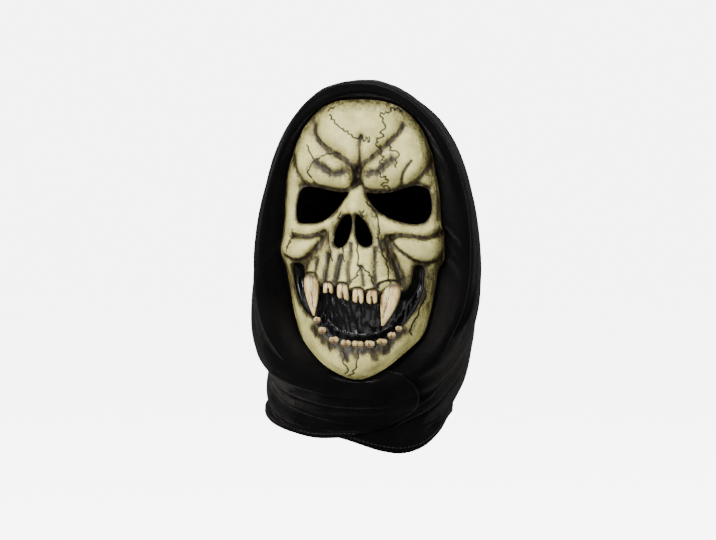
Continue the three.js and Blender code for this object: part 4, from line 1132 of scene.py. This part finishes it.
@dataclass
class LatexFace:
    """The moulded face with its eyes, nostrils and mouth open."""

    form: FaceForm
    columns: int = 194
    rows: int = 318
    roll_width: float = 1.8
    crack_depth: float = 0.35
    crack_width: float = 0.7
    crack_shake: float = 0.7
    hole_steps: int = 240
    lump_size: float = 14.0
    lump_height: float = 0.35
    least_wall: float = 1.2
    arch_room: float = 0.7
    arch_width: float = 1.4
    arch_lift: float = 2.0
    arch_height: float = 0.6
    rim_paint: float = 1.6
    rim_shade: float = 0.85
    arch_paint: float = 0.9
    arch_shade: float = 0.95
    hollow_reach: float = 5.0
    hollow_shade: float = 0.42
    edge_shade: float = 0.5
    chin_edge_shade: float = 0.08

    def build(self, finish: BoneLatex) -> bpy.types.Object:
        """Builds the face.

        Args:
            finish: Its finish.

        Returns:
            The finished piece.
        """
        points, quads = self.form.disc(self.columns, self.rows)
        loops = {name: self.form.loop(places, self.hole_steps) for name, places in HOLES.items()}
        for loop in loops.values():
            points, quads = trimmed(points, quads, loop, keep_inside=False)
        points, quads = compact(points, quads)
        rim = np.min([distance_to(loop, points, closed=True)[0] for loop in loops.values()], axis=0)
        crack = self.crack_distance(points)
        roll = self.form.lip_roll * np.exp(-(rim / self.roll_width) ** 2)
        front = self.form.outer(points) + roll + self.crack_depth * np.exp(-(crack / self.crack_width) ** 2)
        arch = self.arch_distance(points, self.arch_room + self.arch_width)
        front = front - self.arch_lift * np.exp(-(arch / self.arch_width) ** 2)
        lumps = grain(np.stack([points[:, 0], front, points[:, 1]], axis=1), self.lump_size, 3.0)
        front = front + self.lump_height * lumps
        back = self.form.inner(points)
        outer = np.stack([points[:, 0], front, points[:, 1]], axis=1)
        inner = np.stack([points[:, 0], np.maximum(back, front + self.least_wall), points[:, 1]], axis=1)
        verts, faces = closed_wall(outer, inner, quads)
        piece = make_mesh("mask_face", verts, faces, finish.build())
        shade = self.shade(points, loops)
        paint(piece, "shade", np.concatenate([shade, np.zeros_like(shade)]))
        paint(piece, "crack", np.concatenate([crack, np.full_like(crack, FAR)]))
        finish_piece(piece, "bone_latex", "mask_shell")
        return piece

    def arch_distance(self, points: Array, room: float) -> Array:
        """How far each place is from the arches of gum over the upper teeth.

        Args:
            points: Places as x and z.
            room: How far the arches stand off the teeth, in mm.

        Returns:
            The distances.
        """
        best = np.full(len(points), FAR)
        angle = np.linspace(-0.1, math.pi + 0.1, 24)
        for tooth in TEETH:
            if tooth.kind is ToothKind.STUMP:
                continue
            half = TOOTH_SHAPES[tooth.kind].width * tooth.size / 2 + room
            centre = self.form.places(((tooth.across, tooth.down),))[0]
            arch = centre + np.stack([half * np.cos(angle), half * self.arch_height * np.sin(angle)], axis=1)
            best = np.minimum(best, distance_to(arch, points)[0])
        return best

    def crack_distance(self, points: Array) -> Array:
        """How far each place is from the nearest crack, which wavers a little."""
        best = np.full(len(points), FAR)
        for number, shares in enumerate(CRACKS.values()):
            line = self.form.places(shares)
            fine = np.concatenate([line[:-1], (line[:-1] + line[1:]) / 2], axis=1).reshape(-1, 2)
            fine = np.concatenate([fine, line[-1:]])
            seeds = (Vector((k * 1.3, number * 7.1, 0.5)) for k in range(len(fine)))
            shake = np.array([noise.noise_vector(seed) for seed in seeds])
            fine = fine + self.crack_shake * shake[:, :2]
            best = np.minimum(best, distance_to(fine, points)[0])
        return best

    def shade(self, points: Array, loops: dict[str, Array]) -> Array:
        """How dark the airbrush and the painted shade leave each place, from 0 to 1."""
        dark = np.zeros(len(points))
        # Airbrush strokes, some of them painted shadow under the brows and cheekbones.
        for line, width, strength in AIRBRUSH_AND_SHADE:
            away = distance_to(self.form.smooth_line(LINES[line]), points)[0] / width
            dark = layered(dark, strength * np.exp(-away ** 1.6))
        for loop in loops.values():
            away = distance_to(loop, points, closed=True)[0] / self.rim_paint
            dark = layered(dark, self.rim_shade * np.exp(-away ** 1.3))
        arch = self.arch_distance(points, self.arch_room)
        dark = layered(dark, self.arch_shade * np.exp(-(arch / self.arch_paint) ** 2))
        # Darker in the hollows, which lie deeper than the face around them: painted shade, with the airbrush
        # that the mask has there too.
        reach = self.hollow_reach
        steps = ((reach, 0), (-reach, 0), (0, reach), (0, -reach))
        around = [self.form.outer(points + step) for step in steps]
        hollow = self.form.outer(points) - np.mean(around, axis=0)
        dark = layered(dark, self.hollow_shade * smooth(0.1, 1.6, hollow))
        # Darker towards the face's edge and faint at the chin: painted shadow of the hood and of the face
        # turning away, with airbrush there too.
        down = (-self.form.top - points[:, 1]) / self.form.height
        least = self.edge_shade + (self.chin_edge_shade - self.edge_shade) * smooth(0.55, 0.75, down)
        return layered(dark, least * smooth(0.86, 1.0, self.form.edge_share(points)))


@dataclass
class MouthSkin:
    """The thin black skin behind the mouth, sunk and wrinkled."""

    form: FaceForm
    columns: int = 168
    rows: int = 272
    lap: float = 2.0
    gap: float = 0.3
    recess: float = 10.0
    slope: float = 9.0
    wall: float = 1.4
    edge_steps: int = 240
    upright: float = 0.35
    ridge_size: float = 4.5
    ridge_height: float = 1.5
    wrinkle_size: float = 2.0
    wrinkle_height: float = 0.5

    def build(self, finish: BlackLatex) -> bpy.types.Object:
        """Builds the skin.

        Args:
            finish: Its finish.

        Returns:
            The finished piece.
        """
        mouth = self.form.loop(HOLES["mouth"], self.edge_steps)
        run = np.roll(mouth, -1, axis=0) - np.roll(mouth, 1, axis=0)
        out = np.stack([run[:, 1], -run[:, 0]], axis=1) / np.linalg.norm(run, axis=1)[:, None]
        area = np.sum(mouth[:, 0] * np.roll(mouth[:, 1], -1) - np.roll(mouth[:, 0], -1) * mouth[:, 1])
        edge = mouth + out * math.copysign(self.lap, area)
        points, quads = self.form.disc(self.columns, self.rows)
        points, quads = compact(*trimmed(points, quads, edge, keep_inside=True))
        depth = np.where(is_inside(mouth, points), distance_to(mouth, points, closed=True)[0], 0.0)
        sunk = smooth(0, self.slope, depth)
        front = self.form.inner(points) + self.gap + self.recess * sunk
        folded = np.stack([points[:, 0], points[:, 0] * 0, points[:, 1] * self.upright], axis=1)
        ridges = 1 - np.abs(grain(folded, self.ridge_size, 11.0)) * 2
        small = grain(folded, self.wrinkle_size, 5.0)
        front = front - sunk * (self.ridge_height * ridges + self.wrinkle_height * small)
        outer = np.stack([points[:, 0], front, points[:, 1]], axis=1)
        inner = outer + (0, self.wall, 0)
        verts, faces = closed_wall(outer, inner, quads)
        piece = make_mesh("mouth_lining", verts, faces, finish.build())
        finish_piece(piece, "black_latex", "mouth_skin")
        return piece


class ToothKind(Enum):
    """The three sorts of teeth."""

    FANG = "fang"
    INCISOR = "incisor"
    STUMP = "stump"


@dataclass(frozen=True)
class ToothShape:
    """Sizes of a sort of tooth, and its form from root to tip."""

    length: float
    width: float
    thickness: float
    form: Places  # place along it, and shares of the width and the thickness


TOOTH_SHAPES: dict[ToothKind, ToothShape] = {
    ToothKind.FANG: ToothShape(28.5, 13.0, 9.0, (
        (0.0, 0.8, 0.8), (0.12, 1.0, 1.0), (0.35, 0.96, 0.92), (0.6, 0.74, 0.7), (0.82, 0.42, 0.42),
        (1.0, 0.12, 0.14))),
    ToothKind.INCISOR: ToothShape(11.0, 8.6, 6.0, (
        (0.0, 0.8, 0.8), (0.3, 0.96, 1.0), (0.7, 1.0, 0.9), (0.92, 0.92, 0.72), (1.0, 0.72, 0.5))),
    ToothKind.STUMP: ToothShape(4.4, 7.0, 5.0, (
        (0.0, 0.8, 0.3), (0.36, 1.1, 0.5), (0.6, 1.16, 0.9), (0.85, 1.08, 0.8), (1.0, 0.8, 0.55))),
}


@dataclass(frozen=True)
class Tooth:
    """One tooth: its solid, its sort, its place, and how its end is worn."""

    name: str
    kind: ToothKind
    across: float
    down: float
    size: float = 1.0
    long: float = 1.0
    lean: float = 0.0
    tip: float = 0.0
    notch: float = 0.0
    notch_depth: float = 0.0
    slant: float = 0.0


TEETH: tuple[Tooth, ...] = (
    Tooth("fang_left", ToothKind.FANG, -0.537, 0.634, 0.92, 1.13, lean=0.07, tip=-0.1),
    Tooth("incisor_1", ToothKind.INCISOR, -0.29, 0.66, 0.92, 0.66, notch=0.1, notch_depth=4.6),
    Tooth("incisor_2", ToothKind.INCISOR, -0.101, 0.662, 1.04, 1.04, lean=0.06, notch=-0.1, notch_depth=5.4,
          slant=2.4),
    Tooth("incisor_3", ToothKind.INCISOR, 0.085, 0.678, 0.98, 0.95, notch=0.15, notch_depth=5.0, slant=0.8),
    Tooth("incisor_4", ToothKind.INCISOR, 0.241, 0.684, 0.94, 0.88, notch=0.1, notch_depth=6.0),
    Tooth("fang_right", ToothKind.FANG, 0.437, 0.664, 1.18, 0.9, lean=-0.2, tip=-0.1),
    Tooth("stump_1", ToothKind.STUMP, -0.466, 0.788, 0.68, 1.1),
    Tooth("stump_2", ToothKind.STUMP, -0.394, 0.826, 0.78, 1.1),
    Tooth("stump_3", ToothKind.STUMP, -0.239, 0.858, 0.95, 0.8),
    Tooth("stump_4", ToothKind.STUMP, -0.085, 0.87, 1.0, 0.95, notch_depth=1.2),
    Tooth("stump_5", ToothKind.STUMP, 0.056, 0.873, 1.1, 0.75),
    Tooth("stump_6", ToothKind.STUMP, 0.196, 0.872, 0.95, 0.85, slant=-0.8),
    Tooth("stump_7", ToothKind.STUMP, 0.332, 0.864, 1.02, 0.8),
    Tooth("stump_8", ToothKind.STUMP, 0.437, 0.84, 0.82, 0.9),
    Tooth("stump_9", ToothKind.STUMP, 0.515, 0.816, 0.66, 0.9),
)


@dataclass
class Teeth:
    """All the teeth, each seated in the gum with a chipped end."""

    form: FaceForm
    sides: int = 48
    rings: int = 30
    root: float = 2.2
    proud: float = 1.4
    squareness: float = 0.12
    chip: float = 1.0
    fang_chip: float = 0.4
    worn_from: float = 0.35
    notch_width: float = 0.24
    groove_width: float = 0.2
    gum_stain: float = 0.9
    tip_stain: float = 0.3
    flank_stain_and_shade: float = 0.6
    stump_stain: float = 0.26
    seat: float = 0.04
    stump_seat: float = 0.3
    crack_steps: int = 12
    crack_drift: float = 1.6

    def build(self, finish: ToothLatex) -> list[bpy.types.Object]:
        """Builds the teeth.

        Args:
            finish: Their finish.

        Returns:
            The finished pieces.
        """
        material = finish.build()
        pieces = []
        for number, tooth in enumerate(TEETH):
            points, ends = self.surface(number, tooth)
            faces = self.skin(tooth.kind is ToothKind.STUMP)
            piece = make_mesh(f"{tooth.name}_tooth", np.concatenate([points, ends]), faces, material)
            paint(piece, "shade", np.concatenate([self.stains_and_shade(tooth), [self.gum_stain, self.tip_stain]]))
            paint(piece, "crack", np.concatenate([self.crack(points, number, tooth.kind), [FAR, FAR]]))
            finish_piece(piece, "tooth_latex", tooth.name)
            pieces.append(piece)
        return pieces

    @property
    def angle(self) -> Array:
        """The angles of the points round a tooth."""
        return np.arange(self.sides) * 2 * math.pi / self.sides

    def section(self) -> tuple[Array, Array]:
        """A tooth's slightly square section, as places across and outward."""
        square = 1 + self.squareness * np.sin(2 * self.angle) ** 2
        return np.cos(self.angle) * square, np.sin(self.angle) * square

    def surface(self, number: int, tooth: Tooth) -> tuple[Array, Array]:
        """Works out the outside of a tooth.

        Args:
            number: Its number, which gives it chips of its own.
            tooth: The tooth.

        Returns:
            The points of its rings from root to tip, and the middles of its two ends.
        """
        shape = TOOTH_SHAPES[tooth.kind]
        length = shape.length * tooth.size * tooth.long
        width, thickness = shape.width * tooth.size, shape.thickness * tooth.size
        gum = self.form.places(((tooth.across, tooth.down),))
        seat = self.form.outer(gum)[0] + thickness / 2 - self.proud
        towards = 1.0 if tooth.kind is ToothKind.STUMP else -1.0
        along = np.linspace(0, 1, self.rings)
        wide, thick = between(shape.form, along).T
        across, outward = self.section()
        bent = (along ** 2 * length)[:, None]
        x = gum[0, 0] + tooth.lean * bent + np.outer(wide * width / 2, across)
        y = seat + tooth.tip * bent + np.outer(thick * thickness / 2, outward)
        chipped = np.array([noise.noise(Vector((c * 1.6, number * 3.7, 0.0))) for c in across])
        worn = self.chip * (0.6 + chipped) * (self.fang_chip if tooth.kind is ToothKind.FANG else 1.0)
        worn = worn + tooth.notch_depth * np.exp(-((across - tooth.notch) / self.notch_width) ** 2)
        worn = worn + tooth.slant * (0.5 - across / 2)
        up = (along * (length + self.root) - self.root)[:, None]
        up = up - np.outer(smooth(self.worn_from, 1.0, along), worn)
        points = np.stack([x, y, gum[0, 1] + towards * up], axis=-1).reshape(-1, 3)
        ends = np.array([points[:self.sides].mean(axis=0), points[-self.sides:].mean(axis=0)])
        if tooth.notch_depth:
            ends[1, 2] = gum[0, 1] + towards * up[-1].min()
        return points, ends

    def stains_and_shade(self, tooth: Tooth) -> Array:
        """How dark each point of a tooth is, from 0 to 1: brown at the gum and the tip, painted shade on the
        flanks and down the notch.
        """
        is_stump = tooth.kind is ToothKind.STUMP
        tall = np.repeat(np.linspace(0, 1, self.rings), self.sides)
        seat = self.stump_seat if is_stump else self.seat
        stain_and_shade = self.gum_stain * (1 - smooth(seat, seat + 0.13, tall))
        stain_and_shade = stain_and_shade + self.tip_stain * smooth(0.85, 1.0, tall)
        across = np.tile(self.section()[0], self.rings)
        # Painted shade down the notch, where the gap between the prongs is dark.
        groove = np.exp(-((across - tooth.notch) / self.groove_width) ** 2) * smooth(0.4, 0.9, tall)
        stain_and_shade = np.maximum(stain_and_shade, min(1.0, tooth.notch_depth / 3) * groove)
        # Painted shade on the flanks, where the tooth turns away, with the paint that pools at its edges.
        flank = np.abs(np.tile(np.cos(self.angle), self.rings))
        stain_and_shade = np.maximum(stain_and_shade, self.flank_stain_and_shade * smooth(0.8, 1.0, flank))
        return np.maximum(stain_and_shade, self.stump_stain) if is_stump else stain_and_shade

    def skin(self, points_up: bool) -> list[tuple[int, ...]]:
        """The faces of a tooth, closed at both ends, facing out."""
        faces: list[tuple[int, ...]] = []
        first, last = self.rings * self.sides, self.rings * self.sides + 1
        for k in range(self.sides):
            after = (k + 1) % self.sides
            for ring in range(self.rings - 1):
                low, high = ring * self.sides, (ring + 1) * self.sides
                faces.append((low + k, low + after, high + after, high + k))
            faces.append((first, after, k))
            faces.append((last, (self.rings - 1) * self.sides + k, (self.rings - 1) * self.sides + after))
        return faces if points_up else [face[::-1] for face in faces]

    def crack(self, points: Array, number: int, kind: ToothKind) -> Array:
        """How far each point is from the tooth's cracks, which run down its front."""
        share = np.linspace(0, 1, self.crack_steps)
        z = np.linspace(points[0, 2], points[-1, 2], self.crack_steps)
        centre = np.linspace(points[:self.sides, 0].mean(), points[-self.sides:, 0].mean(), self.crack_steps)
        best = np.full(len(points), FAR)
        for start in (-0.12, 0.2) if kind is ToothKind.FANG else (0.05,):
            seeds = (Vector((number * 2.3 + start, k * 0.7, 1.0)) for k in range(self.crack_steps))
            drift = self.crack_drift * np.array([noise.noise(seed) for seed in seeds])
            spread = (1 - share) * abs(points[-1, 2] - points[0, 2]) * 0.25 * start
            line = np.stack([centre + spread + drift, z], axis=1)[:-2]
            best = np.minimum(best, distance_to(line, points[:, [0, 2]])[0])
        return np.where(points[:, 1] < points[:, 1].mean() + 2, best, FAR)


@dataclass
class HemStitches:
    """A row of short stitches that holds the turned-up hem."""

    spacing: float = 3.4
    length: float = 2.4
    thickness: float = 0.6
    smallest: float = 0.8
    largest: float = 1.15
    sides: int = 8
    seed: int = 7

    def tree(self, thread: bpy.types.Material) -> bpy.types.NodeTree:
        """Makes the nodes that set stitches along a line.

        Args:
            thread: The stitches' material.

        Returns:
            The node tree.
        """
        tree = bpy.data.node_groups.new("stitches_along_a_line", "GeometryNodeTree")
        sockets = (("Line", "Geometry"), ("Spacing", "Float"), ("Length", "Float"), ("Thickness", "Float"),
                   ("Seed", "Int"))
        for name, kind in sockets:
            tree.interface.new_socket(name, in_out="INPUT", socket_type=f"NodeSocket{kind}")
        tree.interface.new_socket("Stitches", in_out="OUTPUT", socket_type="NodeSocketGeometry")
        add = partial(add_node, tree)
        given = add("NodeGroupInput").outputs
        curve = add("GeometryNodeMeshToCurve", {"Mesh": given["Line"]})
        points = add("GeometryNodeResampleCurve", {"Curve": curve.outputs[0], "Length": given["Spacing"]},
                     mode="LENGTH")
        along = add("GeometryNodeInputTangent")
        turned = add("FunctionNodeAlignRotationToVector", {"Vector": along.outputs[0]}, axis="Z")
        uneven = add("FunctionNodeRandomValue", {2: self.smallest, 3: self.largest, "Seed": given["Seed"]},
                     data_type="FLOAT")
        radius = add("ShaderNodeMath", {0: given["Thickness"], 1: 0.5}, operation="MULTIPLY")
        stitch = add("GeometryNodeMeshCylinder", {"Vertices": self.sides, "Radius": radius.outputs[0],
                                                  "Depth": given["Length"]})
        placed = add("GeometryNodeInstanceOnPoints", {"Points": points.outputs[0], "Scale": uneven.outputs[1],
                                                      "Instance": stitch.outputs["Mesh"],
                                                      "Rotation": turned.outputs[0]})
        real = add("GeometryNodeRealizeInstances", {"Geometry": placed.outputs[0]})
        dressed = add("GeometryNodeSetMaterial", {"Geometry": real.outputs[0], "Material": thread})
        tree.links.new(dressed.outputs[0], add("NodeGroupOutput").inputs[0])
        return tree

    def build(self, row: Array, finish: PlainPaint) -> bpy.types.Object:
        """Sews a row of stitches.

        Args:
            row: The line that they follow, in mm.
            finish: The thread's finish.

        Returns:
            The finished piece.
        """
        thread = finish.build()
        mesh = bpy.data.meshes.new("hem_line")
        mesh.from_pydata((row * MM).tolist(), [(k, k + 1) for k in range(len(row) - 1)], [])
        line = bpy.data.objects.new("hem_line", mesh)
        bpy.context.scene.collection.objects.link(line)
        sewing = line.modifiers.new("sewing", "NODES")
        sewing.node_group = self.tree(thread)
        socket = {item.name: item.identifier for item in sewing.node_group.interface.items_tree}
        sewing[socket["Spacing"]] = self.spacing * MM
        sewing[socket["Length"]] = self.length * MM
        sewing[socket["Thickness"]] = self.thickness * MM
        sewing[socket["Seed"]] = self.seed
        result = bpy.data.meshes.new_from_object(line.evaluated_get(bpy.context.evaluated_depsgraph_get()))
        line.modifiers.remove(sewing)
        bpy.data.objects.remove(line)
        piece = bpy.data.objects.new("hem_stitches", result)
        bpy.context.scene.collection.objects.link(piece)
        finish_piece(piece, "black_cloth")
        return piece


@dataclass
class Hood:
    """The cloth hood: one sheet from behind the face's edge to the hem."""

    form: FaceForm
    half_width: float = 88.0
    reach: float = 100.0
    drop: float = 288.0
    front_share: float = 0.8
    crown_room: float = 3.0
    squareness: float = 0.03
    lap: float = 3.0
    gap: float = 0.3
    wall: float = 1.6
    hem_wall: float = 2.8
    hem_start: float = 0.93
    hem_turn: float = 0.02
    seam_ease: float = 0.75
    seam_turn: float = 1.8
    panel_step: float = 2.6
    panel_step_from: float = 134.0
    panel_step_to: float = 150.0
    mm_per_degree: float = 1.35
    mm_along: float = 250.0
    fade: float = 26.0
    stitch_place: float = 0.959
    crease_size: float = 26.0
    crease_height: float = 1.1
    small_crease_size: float = 11.0
    small_crease_height: float = 0.5
    flat: tuple[float, float] = (0.62, 0.36)  # metres round the face and from face to hem
    columns: int = 320
    rows: int = 150

    @property
    def front(self) -> float:
        """How far in front of the head's middle the hood's front is measured."""
        return self.form.setback + self.front_share * self.form.depth

    def hoop(self, row: tuple[float, ...], angle: Array) -> Array:
        """The points of a hoop, on a smooth loop through its top, side and chin."""
        top_back, top_down, side, side_back, side_down, chin_back, chin_down, shift = row

        def through(top: float, flank: float, chin: float) -> Array:
            """A loop through three values."""
            mean = (top + chin) / 2
            around, across = (top - chin) / 2 * np.cos(angle), (mean - flank) / 2 * np.cos(2 * angle)
            return (mean + flank) / 2 + around + across

        def back(share: float) -> float:
            """A place in front of or behind the head's middle."""
            return share * (self.front if share < 0 else self.reach)

        round_x = (np.sin(angle) + self.squareness * np.sin(3 * angle)) / (1 - self.squareness)
        return np.stack([
            self.half_width * (side * round_x + shift),
            through(back(top_back), back(side_back), back(chin_back)),
            self.crown_room * (1 - top_down) - self.drop * through(top_down, side_down, chin_down),
        ], axis=-1)

    def lines(self, angle: Array) -> Array:
        """The cloth's middle along each line, from behind the face's edge to the hem."""
        edge = self.form.polar(angle, 1.0)
        inward = edge - (0, self.form.middle)
        inward = inward / np.linalg.norm(inward, axis=1)[:, None]

        def behind(inset: float) -> Array:
            """A point of the seam behind the face."""
            place = edge - inset * inward
            y = self.form.inner(place) + self.gap + self.wall * self.seam_ease
            return np.stack([place[:, 0], y, place[:, 1]], axis=1)

        seam, rim = behind(self.lap), behind(0.0)
        outward = np.stack([inward[:, 0], inward[:, 0] * 0, inward[:, 1]], axis=1)
        outside = rim + outward * self.wall * self.seam_turn
        outside[:, 1] -= self.wall / 2
        return np.stack([seam, rim, outside, *[self.hoop(row, angle) for row in HOOPS]])

    def sheet(self, angle: Array, along: Array) -> Array:
        """Reads the cloth's middle at any angles and places.

        Args:
            angle: Angles from the top, in radians, one for each line.
            along: Places from the face to the hem.

        Returns:
            Points, one for each angle and place that go together.
        """
        lines = self.lines(angle.ravel())
        spans = len(lines) - 1
        flat = along.ravel() * spans
        points = np.empty((flat.size, 3))
        for span in range(spans):
            chosen = np.clip(np.floor(flat).astype(int), 0, spans - 1) == span
            if chosen.any():
                window = lines[:, chosen]
                local = flat[chosen]
                points[chosen] = self.read_span(window, span, local - span)
        return points.reshape(angle.shape + (3,))

    @staticmethod
    def read_span(lines: Array, span: int, t: Array) -> Array:
        """Reads one span of many curves, each at its own place."""
        first, last = 2 * lines[0] - lines[1], 2 * lines[-1] - lines[-2]
        padded = np.concatenate([first[None], lines, last[None]])
        return span_point(*(padded[span + k] for k in range(4)), t[:, None])

    def surface(self) -> tuple[Array, Array, Array]:
        """Works out the cloth.

        Returns:
            Its outside, its inside and its middle, as grids of points.
        """
        along = np.linspace(0, 1, self.rows + 1)
        over, under = between(FRONTS, along).T
        j = np.arange(self.columns + 1) / self.columns
        degrees = 180 + under[:, None] - (360 + under + over)[:, None] * j[None, :]
        grid_along = np.repeat(along[:, None], self.columns + 1, axis=1)
        middle = self.sheet(np.radians(degrees), grid_along)
        normal = np.cross(np.gradient(middle, axis=0), np.gradient(middle, axis=1))
        normal /= np.linalg.norm(normal, axis=2, keepdims=True)
        lift = -self.panel_step * smooth(self.panel_step_from, self.panel_step_to, degrees)
        sink = np.zeros_like(lift)
        for angle, place, turn, run, height, lower in HOOD_FOLDS:
            share = np.exp(-((degrees - angle) / turn) ** 2 - ((grid_along - place) / run) ** 2)
            lift = lift + height * self.wall * share
            sink = sink + lower * self.drop * share
        lift = lift + self.creases(middle, grid_along) + self.wrinkles(degrees, grid_along)
        middle = middle - sink[..., None] * (0, 0, 1)
        hem = smooth(self.hem_start, self.hem_start + self.hem_turn, grid_along)
        wall = self.wall + (self.hem_wall - self.wall) * hem
        outer = middle + normal * (lift + wall / 2)[..., None]
        inner = middle + normal * (lift - wall / 2)[..., None]
        return outer, inner, middle

    def build(self, finish: KnitCloth, thread: PlainPaint) -> list[bpy.types.Object]:
        """Builds the hood and its stitches.

        Args:
            finish: The cloth's finish.
            thread: The thread's finish.

        Returns:
            The finished pieces.
        """
        outer, inner, middle = self.surface()
        quads = grid_faces(self.rows, self.columns)
        verts, faces = closed_wall(outer.reshape(-1, 3), inner.reshape(-1, 3), quads)
        piece = make_mesh("cloth_hood", verts, faces, finish.build())
        self.unwrap(piece, outer)
        finish_piece(piece, "black_cloth", "hood")
        row = outer[round(self.stitch_place * self.rows)]
        return [piece, HemStitches().build(row, thread)]

    def wrinkles(self, degrees: Array, along: Array) -> Array:
        """Narrow wrinkles, in mm, at places told by angle and way from face to hem."""
        scale = np.array([self.mm_per_degree, self.mm_along])
        places = np.stack([degrees.ravel(), along.ravel()], axis=1) * scale
        total = np.zeros(len(places))
        for height, width, line in WRINKLES:
            points = np.array(line, float) * scale
            fine = spline(points, np.linspace(0, len(points) - 1, 6 * len(points)))
            away = distance_to(fine, places)[0] / width
            ends = np.minimum(*(np.linalg.norm(places - end, axis=1) for end in (points[0], points[-1])))
            total += height * np.exp(-away ** 2) * smooth(0, self.fade, ends + away * width)
        return total.reshape(along.shape)

    def creases(self, middle: Array, along: Array) -> Array:
        """Small uneven folds of the worn cloth, in mm."""
        flat = middle.reshape(-1, 3)
        slow = grain(flat * (1.0, 0.6, 0.45), self.crease_size, 7.0)
        fine = grain(flat * (1.0, 0.8, 0.5), self.small_crease_size, 2.0)
        fade = smooth(0.12, 0.3, along)
        return (self.crease_height * slow + self.small_crease_height * fine).reshape(along.shape) * fade

    @staticmethod
    def area(points: Array) -> float:
        """The area of a grid of points, in square metres."""
        a = points[1:, 1:] - points[:-1, :-1]
        b = points[1:, :-1] - points[:-1, 1:]
        return float(np.linalg.norm(np.cross(a, b), axis=2).sum() / 2) * MM * MM

    def unwrap(self, piece: bpy.types.Object, outer: Array) -> None:
        """Gives the cloth coordinates in millimetres along and across it."""
        step_u = np.linalg.norm(np.diff(outer, axis=1), axis=2).mean(axis=0)
        step_v = np.linalg.norm(np.diff(outer, axis=0), axis=2).mean(axis=1)
        u = np.concatenate([[0], np.cumsum(step_u)])
        v = np.concatenate([[0], np.cumsum(step_v)])
        place = np.stack(np.meshgrid(u, v), axis=-1).reshape(-1, 2)
        place = np.concatenate([place, place])
        layer = piece.data.uv_layers.new(name="cloth")
        corners = np.empty(len(piece.data.loops), np.int32)
        piece.data.loops.foreach_get("vertex_index", corners)
        layer.data.foreach_set("uv", place[corners].ravel())


# The soft square lights: name, place and size in metres, and power in watts.
LIGHTS: tuple[tuple[str, tuple[float, float, float], float, float], ...] = (
    ("key", (-1.0, -2.0, 0.35), 0.8, 62.0),
    ("fill", (1.5, -1.5, 0.1), 1.2, 12.0),
    ("low_front", (0.4, -2.0, -0.6), 1.2, 9.0),
    ("overhead", (0.0, -0.3, 1.9), 2.6, 74.0),
    ("rim_right", (1.2, 0.7, 0.5), 0.6, 12.0),
)


@dataclass
class Studio:
    """The pale floor, the soft lights and the camera at the photo's angle."""

    azimuth: float = 12.0
    elevation: float = 2.0
    distance: float = 2.8
    reference_depth: float = 85.0  # the face's front, where a millimetre has the photo's size
    pixels_per_mm: float = 1.30
    origin_x: float = 380.0
    origin_y: float = 80.0
    width: float = 716.0
    height: float = 540.0
    floor_z: float = -0.42
    floor_size: float = 12.0
    floor_glow: float = 6.6
    light_of_room: float = 0.42
    seen_room: float = 7.0
    pale: str = "#F4F4F5"
    aim: tuple[float, float, float] = (0.0, -0.03, -0.14)  # the middle of the face

    def build(self) -> None:
        """Builds the floor, the world, the lights and the camera."""
        bpy.ops.mesh.primitive_plane_add(size=self.floor_size, location=(0, 0, self.floor_z))
        floor = bpy.context.object
        floor.name = "floor"
        board = PlainPaint("matt_white_board", 0.8, colour="#F2F2F2").build()
        lit = board.node_tree.nodes["Principled BSDF"]
        lit.inputs["Emission Color"].default_value = linear(self.pale)
        lit.inputs["Emission Strength"].default_value = self.floor_glow
        floor.data.materials.append(board)
        floor.visible_diffuse = False
        floor.visible_glossy = False
        world = bpy.data.worlds.new("studio")
        bpy.context.scene.world = world
        world.use_nodes = True
        background = world.node_tree.nodes["Background"]
        background.inputs["Color"].default_value = linear(self.pale)
        seen = add_node(world.node_tree, "ShaderNodeLightPath").outputs["Is Camera Ray"]
        strength = add_node(world.node_tree, "ShaderNodeMapRange",
                            {0: seen, 3: self.light_of_room, 4: self.seen_room})
        world.node_tree.links.new(strength.outputs[0], background.inputs["Strength"])
        for name, place, size, power in LIGHTS:
            self.light(name, place, size, power)
        self.camera()

    def light(self, name: str, place: tuple[float, float, float], size: float, power: float) -> None:
        """Adds a soft square light that looks at the face."""
        data = bpy.data.lights.new(name, "AREA")
        data.size = size
        data.energy = power
        lamp = bpy.data.objects.new(name, data)
        lamp.location = place
        lamp.rotation_euler = (Vector(self.aim) - Vector(place)).to_track_quat("-Z", "Y").to_euler()
        bpy.context.scene.collection.objects.link(lamp)

    def camera(self) -> None:
        """Adds the camera, so that a millimetre of the face is as large as in the photo."""
        turn, rise = math.radians(self.azimuth), math.radians(self.elevation)
        right = Vector((math.cos(turn), math.sin(turn), 0))
        side = (self.width / 2 - self.origin_x) / self.pixels_per_mm * MM
        down = (self.height / 2 - self.origin_y) / self.pixels_per_mm * MM
        target = right * side + Vector((0, 0, -down))
        back = Vector((math.sin(turn) * math.cos(rise), -math.cos(turn) * math.cos(rise), math.sin(rise)))
        data = bpy.data.cameras.new("camera")
        data.sensor_width = 36.0
        reach = self.distance - self.reference_depth * MM
        data.lens = self.pixels_per_mm / MM * reach / self.width * data.sensor_width
        data.clip_end = 50
        camera = bpy.data.objects.new("camera", data)
        camera.location = target + back * self.distance
        camera.rotation_euler = (-back).to_track_quat("-Z", "Y").to_euler()
        bpy.context.scene.collection.objects.link(camera)
        bpy.context.scene.camera = camera


def main() -> None:
    """Builds every piece in order."""
    logging.basicConfig(level=logging.INFO, format="%(name)s: %(message)s")
    form = FaceForm()
    LatexFace(form).build(BoneLatex("cast_latex_bone", 0.5))
    MouthSkin(form).build(BlackLatex("cast_latex_gloss_black", 0.19))
    Teeth(form).build(ToothLatex("cast_latex_ivory", 0.36))
    thread = PlainPaint("polyester_thread_black", 0.6, colour="#111012")
    Hood(form).build(KnitCloth("cotton_jersey_black", 0.92), thread)
    Studio().build()


if __name__ == "__main__":
    main()
